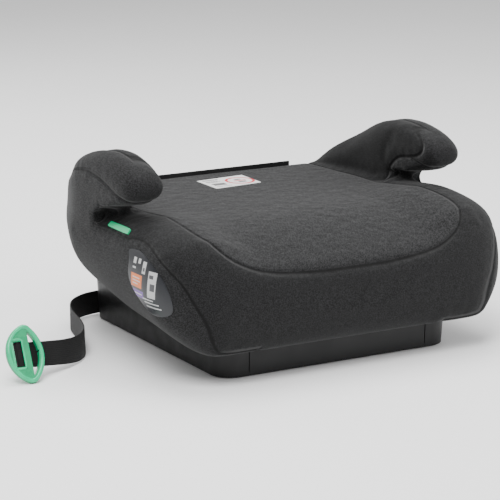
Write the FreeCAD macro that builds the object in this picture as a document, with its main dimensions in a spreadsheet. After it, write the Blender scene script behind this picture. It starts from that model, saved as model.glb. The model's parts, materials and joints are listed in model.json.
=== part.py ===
import FreeCAD, Part
import math
import os
import Sketcher
from FreeCAD import Matrix, Placement, Rotation, Vector

# Booster seat. Millimetres, +Z up, front towards -Y, origin on the floor under
# the middle of the seat's outline (the guide strap and its clip left out).

SIZES = (
    ("overall_wide", 450.0),       # across the cushion sides
    ("overall_deep", 360.0),       # front of the cushion to the rear trim
    ("seat_high", 158.0),          # seat top at the rear
    ("arm_rise", 74.0),            # arm tops above the seat
    ("arm_long", 242.0),           # arm tip to arm rear
    ("arm_wide", 50.0),
    ("arm_inset", 3.0),            # arm side, in from the widest side
    ("front_corner", 72.0),        # plan radius of the front corners
    ("front_drop", 40.0),          # seat top falls this much to the front seam
    ("rear_taper", 45.0),          # each side draws in this much at the rear
    ("taper_from", 85.0),          # depth at which the drawing in starts
    ("skirt_low", 35.0),           # underside of the cushion at the front
    ("skirt_lift", 39.0),          # it rises this much towards the rear
    ("base_wide", 300.0),
    ("base_deep", 318.0),
    ("base_rear_gap", 4.5),        # base rear wall, in from the overall rear
    ("base_corner", 25.0),
    ("base_wall", 3.0),
    ("base_high", 110.0),          # blank height, trimmed by the shell above
    ("base_lift", 1.0),            # rim above the floor, on the feet
    ("base_draft", 2.5),           # degrees
    ("rib_high", 48.0),
    ("rib_thick", 2.5),
    ("panel_line", 115.0),         # front panel lines, from the middle
    ("panel_groove", 1.2),
    ("cover_thick", 3.0),          # quilted cover
    ("foam_thick", 16.7),
    ("shell_wall", 3.0),
    ("lay_gap", 0.3),              # between soft layers
    ("core_depth", 11.0),          # arm core under the arm's outer face
    ("trim_thick", 3.0),
    ("trim_high", 11.0),
    ("trim_left", 160.0),
    ("trim_right", 125.0),
    ("guide_long", 53.0),
    ("guide_wide", 8.0),
    ("guide_front", 50.0),         # front end of the guide, before the middle
    ("guide_proud", 1.5),
    ("label_thick", 0.6),
    ("seat_label_wide", 66.0),
    ("seat_label_deep", 50.0),
    ("boss_outer", 12.0),
    ("screw_shank", 4.0),
    ("screw_head", 8.0),
    ("screw_head_high", 2.6),
    ("screw_gap", 0.1),
    ("screw_grip", 12.0),          # boss left above the head
    ("screw_bite", 9.0),           # screw length inside the shell's lug
    ("foot_wide", 24.0),
    ("foot_high", 3.0),
    ("foot_plate", 3.0),
    ("anchor_screw", 4.0),
    ("anchor_bite", 9.0),
    ("anchor_hole_high", 37.0),
    ("strap_wide", 28.0),
    ("strap_thick", 1.5),
    ("strap_centre", 15.0),        # height of its middle where it stands
    ("plate_left", 116.0),         # anchor plate, from the middle
    ("plate_right", 76.0),
    ("plate_tail", 10.0),          # blind end of its strap slot
    ("pin_wide", 4.0),
    ("pin_gap", 0.05),
    ("pin_long", 36.0),
    ("clip_half_high", 34.0),
    ("clip_left", 15.0),           # curved side, from the window's middle
    ("clip_right", 29.0),
    ("clip_tip_at", 12.0),
    ("clip_round", 9.0),
    ("clip_front", 3.0),
    ("clip_back", 1.8),
    ("clip_edge", 1.2),
    ("clip_bar_left", 5.5),        # fixed bar between window and belt slot
    ("clip_bar_right", 12.5),
    ("clip_rim", 6.5),             # outer bar
    ("window_left", 6.0),
    ("pin_back", 1.6),             # pin axis behind the plate's middle plane
)

# Cushion stations from front to rear, as shares of the depth.
STATIONS = (0.0, 0.008, 0.03, 0.08, 0.16, 0.28, 0.45, 0.62, 0.742, 0.87, 1.0)

# Arm outline seen from the side: share of the arm's length from its rear end,
# share of its rise above the seat.
ARM_OUTLINE = (
    (0.60, -0.52), (0.61, -0.12), (0.64, 0.08), (0.73, 0.17), (0.87, 0.28),
    (0.96, 0.40), (1.0, 0.55), (0.98, 0.73), (0.91, 0.87), (0.79, 0.97),
    (0.66, 1.0), (0.54, 0.95), (0.43, 0.83), (0.30, 0.61), (0.15, 0.37),
    (0.04, 0.12), (0.0, -0.10), (0.02, -0.52), (0.30, -0.56),
)
# Rounding of the arm across its width: share of the width, move inwards.
ARM_SLICES = ((0.0, 9.0), (0.07, 4.5), (0.2, 1.2), (0.5, 0.0), (0.8, 1.2), (0.93, 4.5), (1.0, 9.0))

# Guide strap, middle line seen from above, from the anchor plate to the clip.
STRAP_ROUTE = (
    (-116.0, 178.1), (-150.0, 178.1), (-183.0, 160.0), (-203.0, 128.0), (-212.0, 92.0),
    (-220.0, 56.0), (-233.0, 22.0), (-258.0, -5.0),
)
CLIP_CENTRE = Vector(-339.0, -33.0, 29.0)
CLIP_ALONG = Vector(0.9987, 0.0, -0.0502)
CLIP_UP = Vector(0.0435, 0.5, 0.8649)
TWIST_START = 18.0
LEG_LONG = 24.0
TAB_LONG = 22.0

SCREW_SPOTS = ((-95.0, -90.0), (95.0, -90.0), (-95.0, 20.0), (95.0, 20.0), (-95.0, 120.0), (95.0, 120.0))
SIDES = (("left", -1.0), ("right", 1.0))

doc = FreeCAD.newDocument("booster_seat")
sheet = doc.addObject("Spreadsheet::Sheet", "sizes")


def fill_sheet():
    """Write every driving size into the sheet, one row each."""
    for row, (alias, value) in enumerate(SIZES, start=1):
        sheet.set(f"A{row}", alias)
        sheet.set(f"B{row}", str(value))
        sheet.setAlias(f"B{row}", alias)
    doc.recompute()


def size(alias):
    """Value of one driving size."""
    return float(sheet.get(alias))


def bound(feature, **bindings):
    """Bind properties of a feature to expressions on the sheet."""
    for name, expression in bindings.items():
        feature.setExpression(name.replace("__", "."), expression)
    return feature


# ---------------------------------------------------------------- sketches

def new_body(label):
    """An empty body that carries the sub-part's name."""
    body = doc.addObject("PartDesign::Body", label)
    body.Label = label
    return body


def sketch_on(body, name, role, offset="0"):
    """A sketch on one of the body's own origin planes, moved along its normal."""
    plane = [item for item in body.Origin.OriginFeatures if item.Role == role][0]
    sketch = body.newObject("Sketcher::SketchObject", name)
    sketch.AttachmentSupport = [(plane, "")]
    sketch.MapMode = "FlatFace"
    sketch.setExpression("AttachmentOffset.Base.z", offset)
    return sketch


def pin_point(sketch, edge, end, across, along):
    """Fix one end of a sketch edge at two expressions, from the sketch's origin."""
    here = sketch.getPoint(edge, end)
    for kind, value, expression in (("DistanceX", here.x, across), ("DistanceY", here.y, along)):
        index = sketch.addConstraint(Sketcher.Constraint(kind, -1, 1, edge, end, value))
        sketch.setExpression(f"Constraints[{index}]", expression)


def fix_radius(sketch, edge, radius):
    """Bind the radius of an arc to an expression."""
    index = sketch.addConstraint(Sketcher.Constraint("Radius", edge, sketch.Geometry[edge].Radius))
    sketch.setExpression(f"Constraints[{index}]", radius)


def outline(sketch, corners):
    """Closed outline of straight edges whose corners are pairs of expressions."""
    count = len(corners)
    start = sketch.GeometryCount
    for index in range(count):
        turn = 2.0 * math.pi * index / count
        after = 2.0 * math.pi * (index + 1) / count
        sketch.addGeometry(Part.LineSegment(
            Vector(10.0 * math.cos(turn), 10.0 * math.sin(turn), 0.0),
            Vector(10.0 * math.cos(after), 10.0 * math.sin(after), 0.0)), False)
    for index in range(count):
        follower = start + (index + 1) % count
        sketch.addConstraint(Sketcher.Constraint("Coincident", start + index, 2, follower, 1))
    for index, (across, along) in enumerate(corners):
        pin_point(sketch, start + index, 1, across, along)


def rectangle(sketch, left, right, low, high):
    """Rectangle between four expressions."""
    outline(sketch, ((left, low), (right, low), (right, high), (left, high)))


def circle(sketch, across, along, radius):
    """Circle with its middle and radius given as expressions."""
    index = sketch.addGeometry(Part.Circle(Vector(1.0, 1.0, 0.0), Vector(0.0, 0.0, 1.0), 2.0), False)
    pin_point(sketch, index, 3, across, along)
    fix_radius(sketch, index, radius)


def pad(body, sketch, length, **bindings):
    """Pad a sketch to a length given as an expression."""
    feature = body.newObject("PartDesign::Pad", sketch.Name + "_pad")
    feature.Profile = sketch
    bound(feature, Length=length, **bindings)
    doc.recompute()
    return feature


def pocket(body, sketch, length, backwards=False):
    """Cut a sketch out of the body to a length given as an expression."""
    before = body.Shape.Volume
    feature = body.newObject("PartDesign::Pocket", sketch.Name + "_cut")
    feature.Profile = sketch
    feature.Reversed = backwards
    bound(feature, Length=length)
    doc.recompute()
    if not body.Shape.Volume < before:
        raise RuntimeError(f"{feature.Name} cuts nothing")
    return feature


def upright_edges(shape):
    """Names of the edges of a shape that run nearly straight up."""
    names = []
    for index, edge in enumerate(shape.Edges, start=1):
        rise = edge.Vertexes[-1].Point - edge.Vertexes[0].Point
        if rise.Length > 20.0 and abs(rise.z) > 0.95 * rise.Length:
            names.append(f"Edge{index}")
    return names


def keep(shape, label):
    """Put a finished shape into the document under its own name."""
    feature = doc.addObject("Part::Feature", label)
    feature.Label = label
    feature.Shape = shape
    feature.Placement = Placement()
    return feature


def main_solid(shape):
    """Largest solid of a shape, without the offcuts that a cut leaves."""
    return max(shape.Solids, key=lambda solid: solid.Volume)


# ---------------------------------------------------------------- soft outlines

def closed_ring(points):
    """Closed wire of short straight edges through points."""
    return Part.makePolygon(points + points[:1])


def rear_plane():
    """Depth of the cushion's flat rear."""
    return size("overall_deep") / 2.0 - size("trim_thick")


def side_half(depth):
    """Half width of the cushion at one depth."""
    half = size("overall_wide") / 2.0
    front = -size("overall_deep") / 2.0
    corner = size("front_corner")
    past = front + corner - depth
    if past > 0.0:
        half += math.sqrt(max(corner ** 2 - past ** 2, 0.0)) - corner
    start = size("taper_from")
    return half - size("rear_taper") * max(0.0, (depth - start) / (rear_plane() - start))


def skirt_height(depth):
    """Height of the cushion's underside at one depth."""
    share = max(0.0, (depth + 20.0) / (rear_plane() + 20.0))
    low = size("skirt_low") + size("skirt_lift") * share ** 1.3
    near = max(0.0, 15.0 - (depth + size("overall_deep") / 2.0))
    return low + 15.0 - math.sqrt(225.0 - near ** 2)


def top_height(depth):
    """Height of the seat's top along its middle."""
    fall = max(0.0, -40.0 - depth) / (size("overall_deep") / 2.0 - 40.0)
    high = size("seat_high") - size("front_drop") * fall ** 2.2
    near = max(0.0, 20.0 - (depth + size("overall_deep") / 2.0))
    return high + math.sqrt(400.0 - near ** 2) - 20.0


def cushion_section(share, inset, rear_inset):
    """Closed curve across the cushion at one share of its depth, moved in."""
    front = -size("overall_deep") / 2.0
    rear = rear_plane()
    depth = front + (rear - front) * share
    place = front + inset + (rear - rear_inset - front - inset) * share
    wide = side_half(depth) - inset
    low = skirt_height(depth) + inset
    high = top_height(depth) - inset
    fullness = 0.65 * (1.0 - share) ** 0.7
    foot = size("base_wide") / 2.0 + 4.0 - inset
    foot = min(foot + (wide - foot) * fullness, wide - 4.0)
    middle = low + (0.48 + 0.36 * share) * (high - low)
    half = (
        (0.45 * foot, low), (foot - 6.0, low),
        (foot + 0.45 * (wide - foot), low + 0.22 * (middle - low)),
        (foot + 0.87 * (wide - foot), low + 0.6 * (middle - low)),
        (wide, middle), (wide - 3.0, middle + 0.45 * (high - middle)),
        (wide - 13.0, high - 0.2 * (high - middle) - 0.04 * (high - low)),
        (wide - 32.0, high - 0.025 * (high - low)),
        (wide - 75.0, high), (0.0, high + 1.0),
    )
    right = [Vector(across, place, up) for across, up in half]
    left = [Vector(-across, place, up) for across, up in reversed(half[:-1])]
    return closed_ring(right + left)


def cushion(inset, rear_inset=0.0):
    """Solid of the whole cushion, every face but the rear moved in by inset."""
    wires = [cushion_section(share, inset, rear_inset) for share in STATIONS]
    return Part.makeLoft(wires, True, True)


def arm_points(inset):
    """Arm outline seen from the side, moved inwards."""
    rear = rear_plane() - 1.0
    flat = [(rear - size("arm_long") * back, size("seat_high") + size("arm_rise") * up)
            for back, up in ARM_OUTLINE]
    moved = []
    for index, (depth, up) in enumerate(flat):
        before = flat[index - 1]
        after = flat[(index + 1) % len(flat)]
        step = (after[0] - before[0], after[1] - before[1])
        length = math.hypot(*step)
        moved.append((depth + inset * step[1] / length, up - inset * step[0] / length))
    return moved


def arm(inset, hand):
    """Solid of one arm, moved in all round by inset; hand is -1 left, 1 right."""
    outer = size("overall_wide") / 2.0 - size("arm_inset")
    wires = []
    for share, rounding in ARM_SLICES:
        across = outer - size("arm_wide") + inset + (size("arm_wide") - 2.0 * inset) * share
        points = [Vector(hand * across, depth, up) for depth, up in arm_points(inset + rounding)]
        wires.append(closed_ring(points))
    return Part.makeLoft(wires, True, True).cut(rear_corner(inset, hand))


def rear_corner(inset, hand):
    """What the taper of the sides takes off an arm's outer rear corner."""
    half = size("overall_wide") / 2.0
    start = size("taper_from")
    rear = rear_plane() + 20.0
    slope = size("rear_taper") / (rear_plane() - start)
    side = half - inset * math.hypot(1.0, slope)
    points = ((side + 20.0 * slope, start - 20.0), (half + 60.0, start - 20.0),
              (half + 60.0, rear), (side - (rear - start) * slope, rear))
    high = size("seat_high") + size("arm_rise") + 30.0
    return prism_from_above([(hand * across, depth) for across, depth in points], 20.0, high)


def block(left, right, front, rear, low, high):
    """Rectangular block between two corners."""
    return Part.makeBox(right - left, rear - front, high - low, Vector(left, front, low))


def prism_from_above(points, low, high):
    """Upright prism over a polygon given from above."""
    ring = [Vector(across, depth, low) for across, depth in points]
    face = Part.Face(Part.makePolygon(ring + ring[:1]))
    return face.extrude(Vector(0.0, 0.0, high - low))


def prism_from_side(points, inner, outer):
    """Prism along X over a polygon given from the side."""
    ring = [Vector(inner, depth, up) for depth, up in points]
    face = Part.Face(Part.makePolygon(ring + ring[:1]))
    return face.extrude(Vector(outer - inner, 0.0, 0.0))


def base_rear():
    """Depth of the base's rear wall at the floor."""
    return size("overall_deep") / 2.0 - size("base_rear_gap")


def base_front():
    """Depth of the base's front wall at the floor."""
    return base_rear() - size("base_deep")


def base_passage(gap):
    """Space that the base takes up through the cushion's underside."""
    half = size("base_wide") / 2.0
    low = size("base_lift")
    high = size("base_high")
    grow = (high - low) * math.tan(math.radians(size("base_draft")))
    reach = half + grow + gap
    solid = block(-reach, reach, base_front() - grow - gap, base_rear() + grow + gap, 0.0, high)
    uprights = [edge for edge in solid.Edges if abs(edge.tangentAt(0.0).z) > 0.99]
    return solid.makeFillet(size("base_corner"), uprights)


# ---------------------------------------------------------------- base

BASE_FRONT = "sizes.overall_deep / 2 - sizes.base_rear_gap - sizes.base_deep"
BASE_REAR = "sizes.overall_deep / 2 - sizes.base_rear_gap"


def make_base_blank():
    """Drafted rim of the base with its ribs, screw bosses and foot plates."""
    body = new_body("base_blank")
    rim = sketch_on(body, "rim", "XY_Plane", "sizes.base_lift")
    rectangle(rim, "-sizes.base_wide / 2", "sizes.base_wide / 2", BASE_FRONT, BASE_REAR)
    rim_pad = pad(body, rim, "sizes.base_high - sizes.base_lift", TaperAngle="sizes.base_draft")
    corners = body.newObject("PartDesign::Fillet", "corners")
    corners.Base = (rim_pad, upright_edges(rim_pad.Shape))
    bound(corners, Radius="sizes.base_corner")
    doc.recompute()
    ends = [f"Face{index}" for index, face in enumerate(corners.Shape.Faces, start=1)
            if abs(face.normalAt(0.0, 0.0).z) > 0.99]
    walls = body.newObject("PartDesign::Thickness", "walls")
    walls.Base = (corners, ends)
    walls.Reversed = True
    bound(walls, Value="sizes.base_wall")
    doc.recompute()
    add_ribs(body)
    add_bosses(body)
    add_foot_plates(body)
    cut_panel_lines(body)
    return body


def add_ribs(body):
    """One rib along the base and one across it."""
    across = sketch_on(body, "rib_across", "XY_Plane", "sizes.base_lift + sizes.foot_high")
    rectangle(across, "-sizes.base_wide / 2 + sizes.base_wall / 2",
              "sizes.base_wide / 2 - sizes.base_wall / 2",
              "-sizes.rib_thick / 2 + sizes.base_rear_gap", "sizes.rib_thick / 2 + sizes.base_rear_gap")
    pad(body, across, "sizes.rib_high")
    along = sketch_on(body, "rib_along", "XY_Plane", "sizes.base_lift + sizes.foot_high")
    rectangle(along, "-sizes.rib_thick / 2", "sizes.rib_thick / 2",
              BASE_FRONT + " + sizes.base_wall / 2", BASE_REAR + " - sizes.base_wall / 2")
    pad(body, along, "sizes.rib_high")


def add_bosses(body):
    """Screw bosses, each with a web to the side wall, and their screw holes."""
    for index, (across, depth) in enumerate(SCREW_SPOTS):
        hand = math.copysign(1.0, across)
        web = sketch_on(body, f"web_{index}", "XY_Plane", "sizes.base_lift + sizes.foot_high")
        wall = "sizes.base_wide / 2 - sizes.base_wall / 2"
        left, right = (f"-({wall})", str(across)) if hand < 0.0 else (str(across), wall)
        rectangle(web, left, right, f"{depth} - sizes.rib_thick / 2", f"{depth} + sizes.rib_thick / 2")
        pad(body, web, "sizes.base_high - sizes.base_lift - sizes.foot_high")
        boss = sketch_on(body, f"boss_{index}", "XY_Plane", "sizes.base_lift + sizes.foot_high")
        circle(boss, str(across), str(depth), "sizes.boss_outer / 2")
        pad(body, boss, "sizes.base_high - sizes.base_lift - sizes.foot_high")
        hole = sketch_on(body, f"hole_{index}", "XY_Plane", "0")
        circle(hole, str(across), str(depth), "sizes.screw_shank / 2 + sizes.screw_gap")
        pocket(body, hole, "sizes.base_high + 1", backwards=True)
        bore = sketch_on(body, f"bore_{index}", "XY_Plane", "0")
        circle(bore, str(across), str(depth), "sizes.screw_head / 2 + 2 * sizes.screw_gap")
        pocket(body, bore, str(head_seat(depth)), backwards=True)


def add_foot_plates(body):
    """Corner plates inside the rim that the rubber feet are glued under."""
    for index, (across, depth) in enumerate(foot_spots()):
        plate = sketch_on(body, f"plate_{index}", "XY_Plane", "sizes.foot_high")
        hand = math.copysign(1.0, across)
        ahead = math.copysign(1.0, depth)
        half = "(sizes.foot_wide / 2 + 2)"
        cut = "(sizes.base_corner / 2)"
        signs = ((-hand, -ahead), (-hand, ahead), (hand, ahead), (hand, -ahead))
        corners = [[f"{across} + {side * 1.0} * {half}", f"{depth} + {along * 1.0} * {half}"]
                   for side, along in signs]
        near = [corners[2][0] + f" - {hand * 1.0} * {cut}", corners[2][1]]
        far = [corners[2][0], corners[2][1] + f" - {ahead * 1.0} * {cut}"]
        outline(plate, (corners[0], corners[1], near, far, corners[3]))
        pad(body, plate, "sizes.foot_plate")


def shell_floor(depth):
    """Height of the seat shell's underside at one depth."""
    return skirt_height(depth) + size("cover_thick") + size("foam_thick") + size("lay_gap")


def head_seat(depth):
    """Height of the seat of a screw's head inside its boss."""
    return shell_floor(depth) - size("screw_grip")


def foot_spots():
    """Middles of the four feet."""
    inward = size("base_wall") + size("foot_wide") / 2.0 + size("base_corner") / 4.0
    across = size("base_wide") / 2.0 - inward
    return [(hand * across, depth) for hand in (-1.0, 1.0)
            for depth in (base_front() + inward, base_rear() - inward)]


def cut_panel_lines(body):
    """Two upright grooves that frame the middle of the front wall."""
    lines = sketch_on(body, "panel_lines", "XY_Plane", "sizes.base_lift + 4")
    for hand in ("-", ""):
        middle = f"({hand}sizes.panel_line)"
        rectangle(lines, f"{middle} - sizes.panel_groove / 2", f"{middle} + sizes.panel_groove / 2",
                  BASE_FRONT + " - 6", BASE_FRONT + " + sizes.panel_groove / 2")
    pocket(body, lines, "sizes.base_high", backwards=True)


def make_seat_shell(outer, inner):
    """Moulded seat shell over the base, open downwards inside the base walls."""
    margin = 2.0 * size("base_wall") + 3.0
    half = size("base_wide") / 2.0 - margin
    opening = block(-half, half, base_front() + margin, base_rear() - margin,
                    0.0, size("seat_high") - 50.0)
    shape = outer.cut(inner).cut(opening)
    for across, depth in SCREW_SPOTS:
        top = shell_floor(depth) + size("screw_bite") + 3.0
        lug = Part.makeCylinder(size("boss_outer") / 2.0, top, Vector(across, depth, 0.0))
        web = block(min(across, math.copysign(half + 2.0, across)), max(across, math.copysign(half + 2.0, across)),
                    depth - size("rib_thick") / 2.0, depth + size("rib_thick") / 2.0, 0.0, top)
        shape = shape.fuse(lug.fuse(web).common(outer))
        hole = Part.makeCylinder(size("screw_shank") / 2.0, top - 2.0, Vector(across, depth, 0.0))
        shape = shape.cut(hole)
    return shape


# ---------------------------------------------------------------- soft layers

def panel_ring():
    """Seam of the seat's top panel, seen from above."""
    half = size("overall_wide") / 2.0
    front = -size("overall_deep") / 2.0
    right = ((half - 67.0, rear_plane() + 2.0), (half - 66.0, 20.0), (half - 59.0, -70.0),
             (half - 62.0, front + 52.0), (half - 78.0, front + 22.0), (0.0, front + 12.0))
    left = tuple((-across, depth) for across, depth in reversed(right[:-1]))
    return right + left


def side_ring():
    """Seam between side panel and front border, seen from the side."""
    front = -size("overall_deep") / 2.0
    high = size("seat_high")
    return ((size("overall_deep"), -10.0), (size("overall_deep"), high + 50.0), (22.0, high + 50.0),
            (22.0, high - 9.0), (-60.0, high - 9.0), (front + 80.0, high - 11.0),
            (front + 40.0, high - 30.0), (front + 22.0, high - 58.0), (front + 14.0, high - 98.0),
            (front + 16.0, -10.0))


def guide_prism(hand, gap):
    """Space of one belt guide, seen from above, grown by gap."""
    outer = side_half(0.0) - 17.0 + gap
    inner = outer - size("guide_wide") - 2.0 * gap
    front = -size("guide_front") - gap
    rear = front + size("guide_long") + 2.0 * gap
    left, right = sorted((hand * inner, hand * outer))
    return block(left, right, front, rear, size("seat_high") - 40.0, size("seat_high") + 5.0)


def make_covers(outer, inner, passage, arm_holes):
    """Cover panels of the cushion: top, border and the two sides."""
    skin = outer.cut(inner).cut(passage)
    for hole in arm_holes:
        skin = skin.cut(hole)
    for name, hand in SIDES:
        skin = skin.cut(guide_prism(hand, size("lay_gap")))
    top_zone = prism_from_above(panel_ring(), size("seat_high") - 58.0, size("seat_high") + 40.0)
    keep(main_solid(skin.common(top_zone)), "seat_cover")
    rest = skin.cut(top_zone)
    half = size("overall_wide") / 2.0
    inset = size("base_wide") / 2.0 - 2.0
    for name, hand in SIDES:
        zone = prism_from_side(side_ring(), hand * inset, hand * (half + 5.0))
        keep(rest.common(zone), f"side_cover_{name}")
        rest = rest.cut(zone)
    keep(main_solid(rest), "front_cover")


def make_foams(outer, inner, passage, arm_holes):
    """Foam of the cushion: seat pad, front roll and the two side bolsters."""
    foam = outer.cut(inner).cut(passage)
    for hole in arm_holes:
        foam = foam.cut(hole)
    for name, hand in SIDES:
        foam = foam.cut(guide_prism(hand, size("lay_gap")))
    top_zone = prism_from_above(panel_ring(), size("seat_high") - 58.0, size("seat_high") + 40.0)
    keep(main_solid(foam.common(top_zone)), "seat_foam")
    rest = foam.cut(top_zone)
    front = -size("overall_deep") / 2.0
    half = size("overall_wide")
    front_zone = block(-half, half, front - 5.0, front + 60.0, 0.0, size("seat_high") + 20.0)
    keep(rest.common(front_zone), "front_foam")
    rest = rest.cut(front_zone)
    for name, hand in SIDES:
        left, right = sorted((0.0, hand * half))
        zone = block(left, right, front, size("overall_deep"), 0.0, size("seat_high") + 20.0)
        keep(rest.common(zone), f"side_foam_{name}")


def arm_block(depth_in, hand):
    """Arm outline without rounding, moved in all round, as a plain prism."""
    outer = size("overall_wide") / 2.0 - size("arm_inset") - depth_in
    inner = outer - size("arm_wide") + 2.0 * depth_in
    prism = prism_from_side(arm_points(depth_in), hand * inner, hand * outer)
    return prism.cut(rear_corner(depth_in, hand))


def make_arm(name, hand, cushion_outer, shell_outer):
    """Core, foam and the two cover panels of one arm."""
    thick = size("cover_thick")
    core = arm_block(size("core_depth"), hand)
    hole = arm_block(size("core_depth") - size("lay_gap"), hand)
    keep(core.cut(shell_outer), f"arm_core_{name}")
    skin = arm(0.0, hand).cut(arm(thick, hand)).cut(cushion_outer)
    foam = arm(thick + size("lay_gap"), hand).cut(hole).cut(cushion_outer)
    keep(foam, f"arm_foam_{name}")
    outer = size("overall_wide") / 2.0 - size("arm_inset")
    seam = outer - size("arm_wide") + 9.0
    low, high = sorted((0.0, hand * seam))
    zone = block(low, high, -size("overall_deep"), size("overall_deep"), 0.0, 2.0 * size("seat_high"))
    keep(skin.common(zone), f"arm_inner_cover_{name}")
    keep(skin.cut(zone), f"arm_outer_cover_{name}")
    return hole


def make_labels(outer):
    """Sewn label on the seat and the printed panel on the left side."""
    proud = cushion(-size("label_thick"))
    deep = size("seat_label_deep")
    wide = size("seat_label_wide")
    seat_zone = prism_from_above(
        ((-27.0, 88.0), (-27.0, 88.0 + deep), (wide - 27.0, 94.0 + deep), (wide - 27.0, 94.0)),
        size("seat_high") - 5.0, size("seat_high") + 9.0)
    keep(proud.common(seat_zone).cut(outer), "seat_label")
    high = size("seat_high")
    side_zone = prism_from_side(
        ((-25.0, high - 30.0), (-12.0, high - 41.0), (-9.0, high - 73.0), (-54.0, high - 94.0),
         (-104.0, high - 85.0), (-115.0, high - 74.0), (-98.0, high - 47.0), (-56.0, high - 29.0)),
        -size("base_wide") / 2.0, -size("overall_wide") / 2.0 - 5.0)
    keep(proud.common(side_zone).cut(outer), "side_label")


def make_guides(inner):
    """Green belt guides set into the cushion's upper edges."""
    proud = cushion(-size("guide_proud"))
    for name, hand in SIDES:
        keep(proud.common(guide_prism(hand, 0.0)).cut(inner), f"belt_guide_{name}")


def make_rear_trim():
    """Black strip along the rear edge of the seat."""
    strip = doc.addObject("Part::Box", "trim_strip")
    bound(strip, Length="sizes.trim_left + sizes.trim_right", Width="sizes.trim_thick",
          Height="sizes.trim_high")
    bound(strip, Placement__Base__x="-sizes.trim_left",
          Placement__Base__y="sizes.overall_deep / 2 - sizes.trim_thick",
          Placement__Base__z="sizes.seat_high + 3 - sizes.trim_high")
    doc.recompute()
    trim = doc.addObject("Part::Fillet", "rear_trim")
    trim.Label = "rear_trim"
    trim.Base = strip
    rear_edges = [index for index, edge in enumerate(strip.Shape.Edges, start=1)
                  if abs(edge.CenterOfMass.y - size("overall_deep") / 2.0) < 0.01]
    trim.Edges = [(index, 1.2, 1.2) for index in rear_edges]
    doc.recompute()


# ---------------------------------------------------------------- fasteners and feet

def cylinder(name, radius, length, place):
    """Part cylinder whose sizes are expressions."""
    feature = doc.addObject("Part::Cylinder", name)
    bound(feature, Radius=radius, Height=length)
    feature.Placement = place
    return feature


def group(label, members):
    """Separate solids under one name."""
    feature = doc.addObject("Part::Compound", label)
    feature.Label = label
    feature.Links = members
    doc.recompute()


def screw(name, head, turn, length):
    """Pan-head screw: seat of the head at head, shank along the turned Z axis."""
    shank = cylinder(name + "_shank", "sizes.screw_shank / 2", length, Placement(head, turn))
    back = turn.multVec(Vector(0.0, 0.0, -size("screw_head_high")))
    cap = cylinder(name + "_head", "sizes.screw_head / 2", "sizes.screw_head_high",
                   Placement(head + back, turn))
    fused = doc.addObject("Part::Fuse", name)
    fused.Base = shank
    fused.Tool = cap
    return fused


def make_fasteners():
    """Base screws, anchor screws and rubber feet."""
    base_screws = [screw(f"base_screw_{index}", Vector(across, depth, head_seat(depth)), Rotation(),
                         "sizes.screw_grip + sizes.screw_bite")
                   for index, (across, depth) in enumerate(SCREW_SPOTS)]
    group("base_screws", base_screws)
    inwards = Rotation(Vector(1.0, 0.0, 0.0), 90.0)
    anchor_screws = [cylinder(f"anchor_screw_{index}", "sizes.anchor_screw / 2", "sizes.anchor_bite",
                              Placement(Vector(across, size("overall_deep") / 2.0, size("anchor_hole_high")),
                                        inwards))
                     for index, across in enumerate(anchor_spots())]
    group("anchor_screws", anchor_screws)
    feet = [cylinder(f"foot_{index}", "sizes.foot_wide / 2", "sizes.foot_high",
                     Placement(Vector(across, depth, 0.0), Rotation()))
            for index, (across, depth) in enumerate(foot_spots())]
    group("rubber_feet", feet)


def anchor_spots():
    """Places of the two anchor screws along the rear wall."""
    return (-size("plate_left") + 8.0, -size("plate_right") - 8.0)


# ---------------------------------------------------------------- guide strap and clip

def make_anchor(base_shape):
    """Plate that clamps the strap's end against the rear wall of the base."""
    rear = size("overall_deep") / 2.0
    plate = block(-size("plate_left"), -size("plate_right"), base_rear(), rear, 0.4,
                  size("anchor_hole_high") + 7.0)
    slot = block(-size("plate_left") - 1.0, -size("plate_right") - size("plate_tail"), rear - 10.0,
                 strap_face() + size("lay_gap") / 2.0, 0.0,
                 size("strap_centre") + size("strap_wide") / 2.0 + size("lay_gap"))
    plate = plate.cut(slot).cut(base_shape)
    for across in anchor_spots():
        plate = plate.cut(anchor_hole(across))
    keep(plate, "anchor_plate")


def anchor_hole(across):
    """Hole of one anchor screw."""
    return Part.makeCylinder(size("anchor_screw") / 2.0, size("anchor_bite"),
                             Vector(across, size("overall_deep") / 2.0, size("anchor_hole_high")),
                             Vector(0.0, -1.0, 0.0))


def strap_face():
    """Depth of the strap's rear face along the base's rear wall."""
    return STRAP_ROUTE[0][1] + size("strap_thick") / 2.0


def clip_axes():
    """Unit axes of the clip: along the strap, up the pin, out of its face."""
    along = Vector(CLIP_ALONG).normalize()
    upward = CLIP_UP - along * CLIP_UP.dot(along)
    upward.normalize()
    return along, upward, along.cross(upward)


def clip_place():
    """Placement of the clip's own frame: origin on the pin, Y along it."""
    along, upward, face = clip_axes()
    turn = Rotation(Matrix(along.x, upward.x, face.x, 0.0, along.y, upward.y, face.y, 0.0,
                           along.z, upward.z, face.z, 0.0, 0.0, 0.0, 0.0, 1.0))
    return Placement(CLIP_CENTRE - face * size("pin_back"), turn)


def rounded_path(points, height):
    """Straight runs joined by tangent arcs through a route seen from above."""
    corners = [Vector(across, depth, height) for across, depth in points]
    edges = []
    start = corners[0]
    for before, corner, after in zip(corners, corners[1:], corners[2:]):
        back = (before - corner).normalize()
        ahead = (after - corner).normalize()
        turn = math.pi - back.getAngle(ahead)
        reach = 0.45 * min(corner.distanceToPoint(before), corner.distanceToPoint(after))
        radius = reach / math.tan(turn / 2.0)
        print(f"strap bend radius {radius:.1f}")
        entry = corner + back * reach
        leave = corner + ahead * reach
        halfway = (back + ahead).normalize()
        centre = corner + halfway * (radius / math.cos(turn / 2.0))
        middle = centre - halfway * radius
        edges.append(Part.LineSegment(start, entry).toShape())
        edges.append(Part.Arc(entry, middle, leave).toShape())
        start = leave
    edges.append(Part.LineSegment(start, corners[-1]).toShape())
    return Part.Wire(edges)


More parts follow.
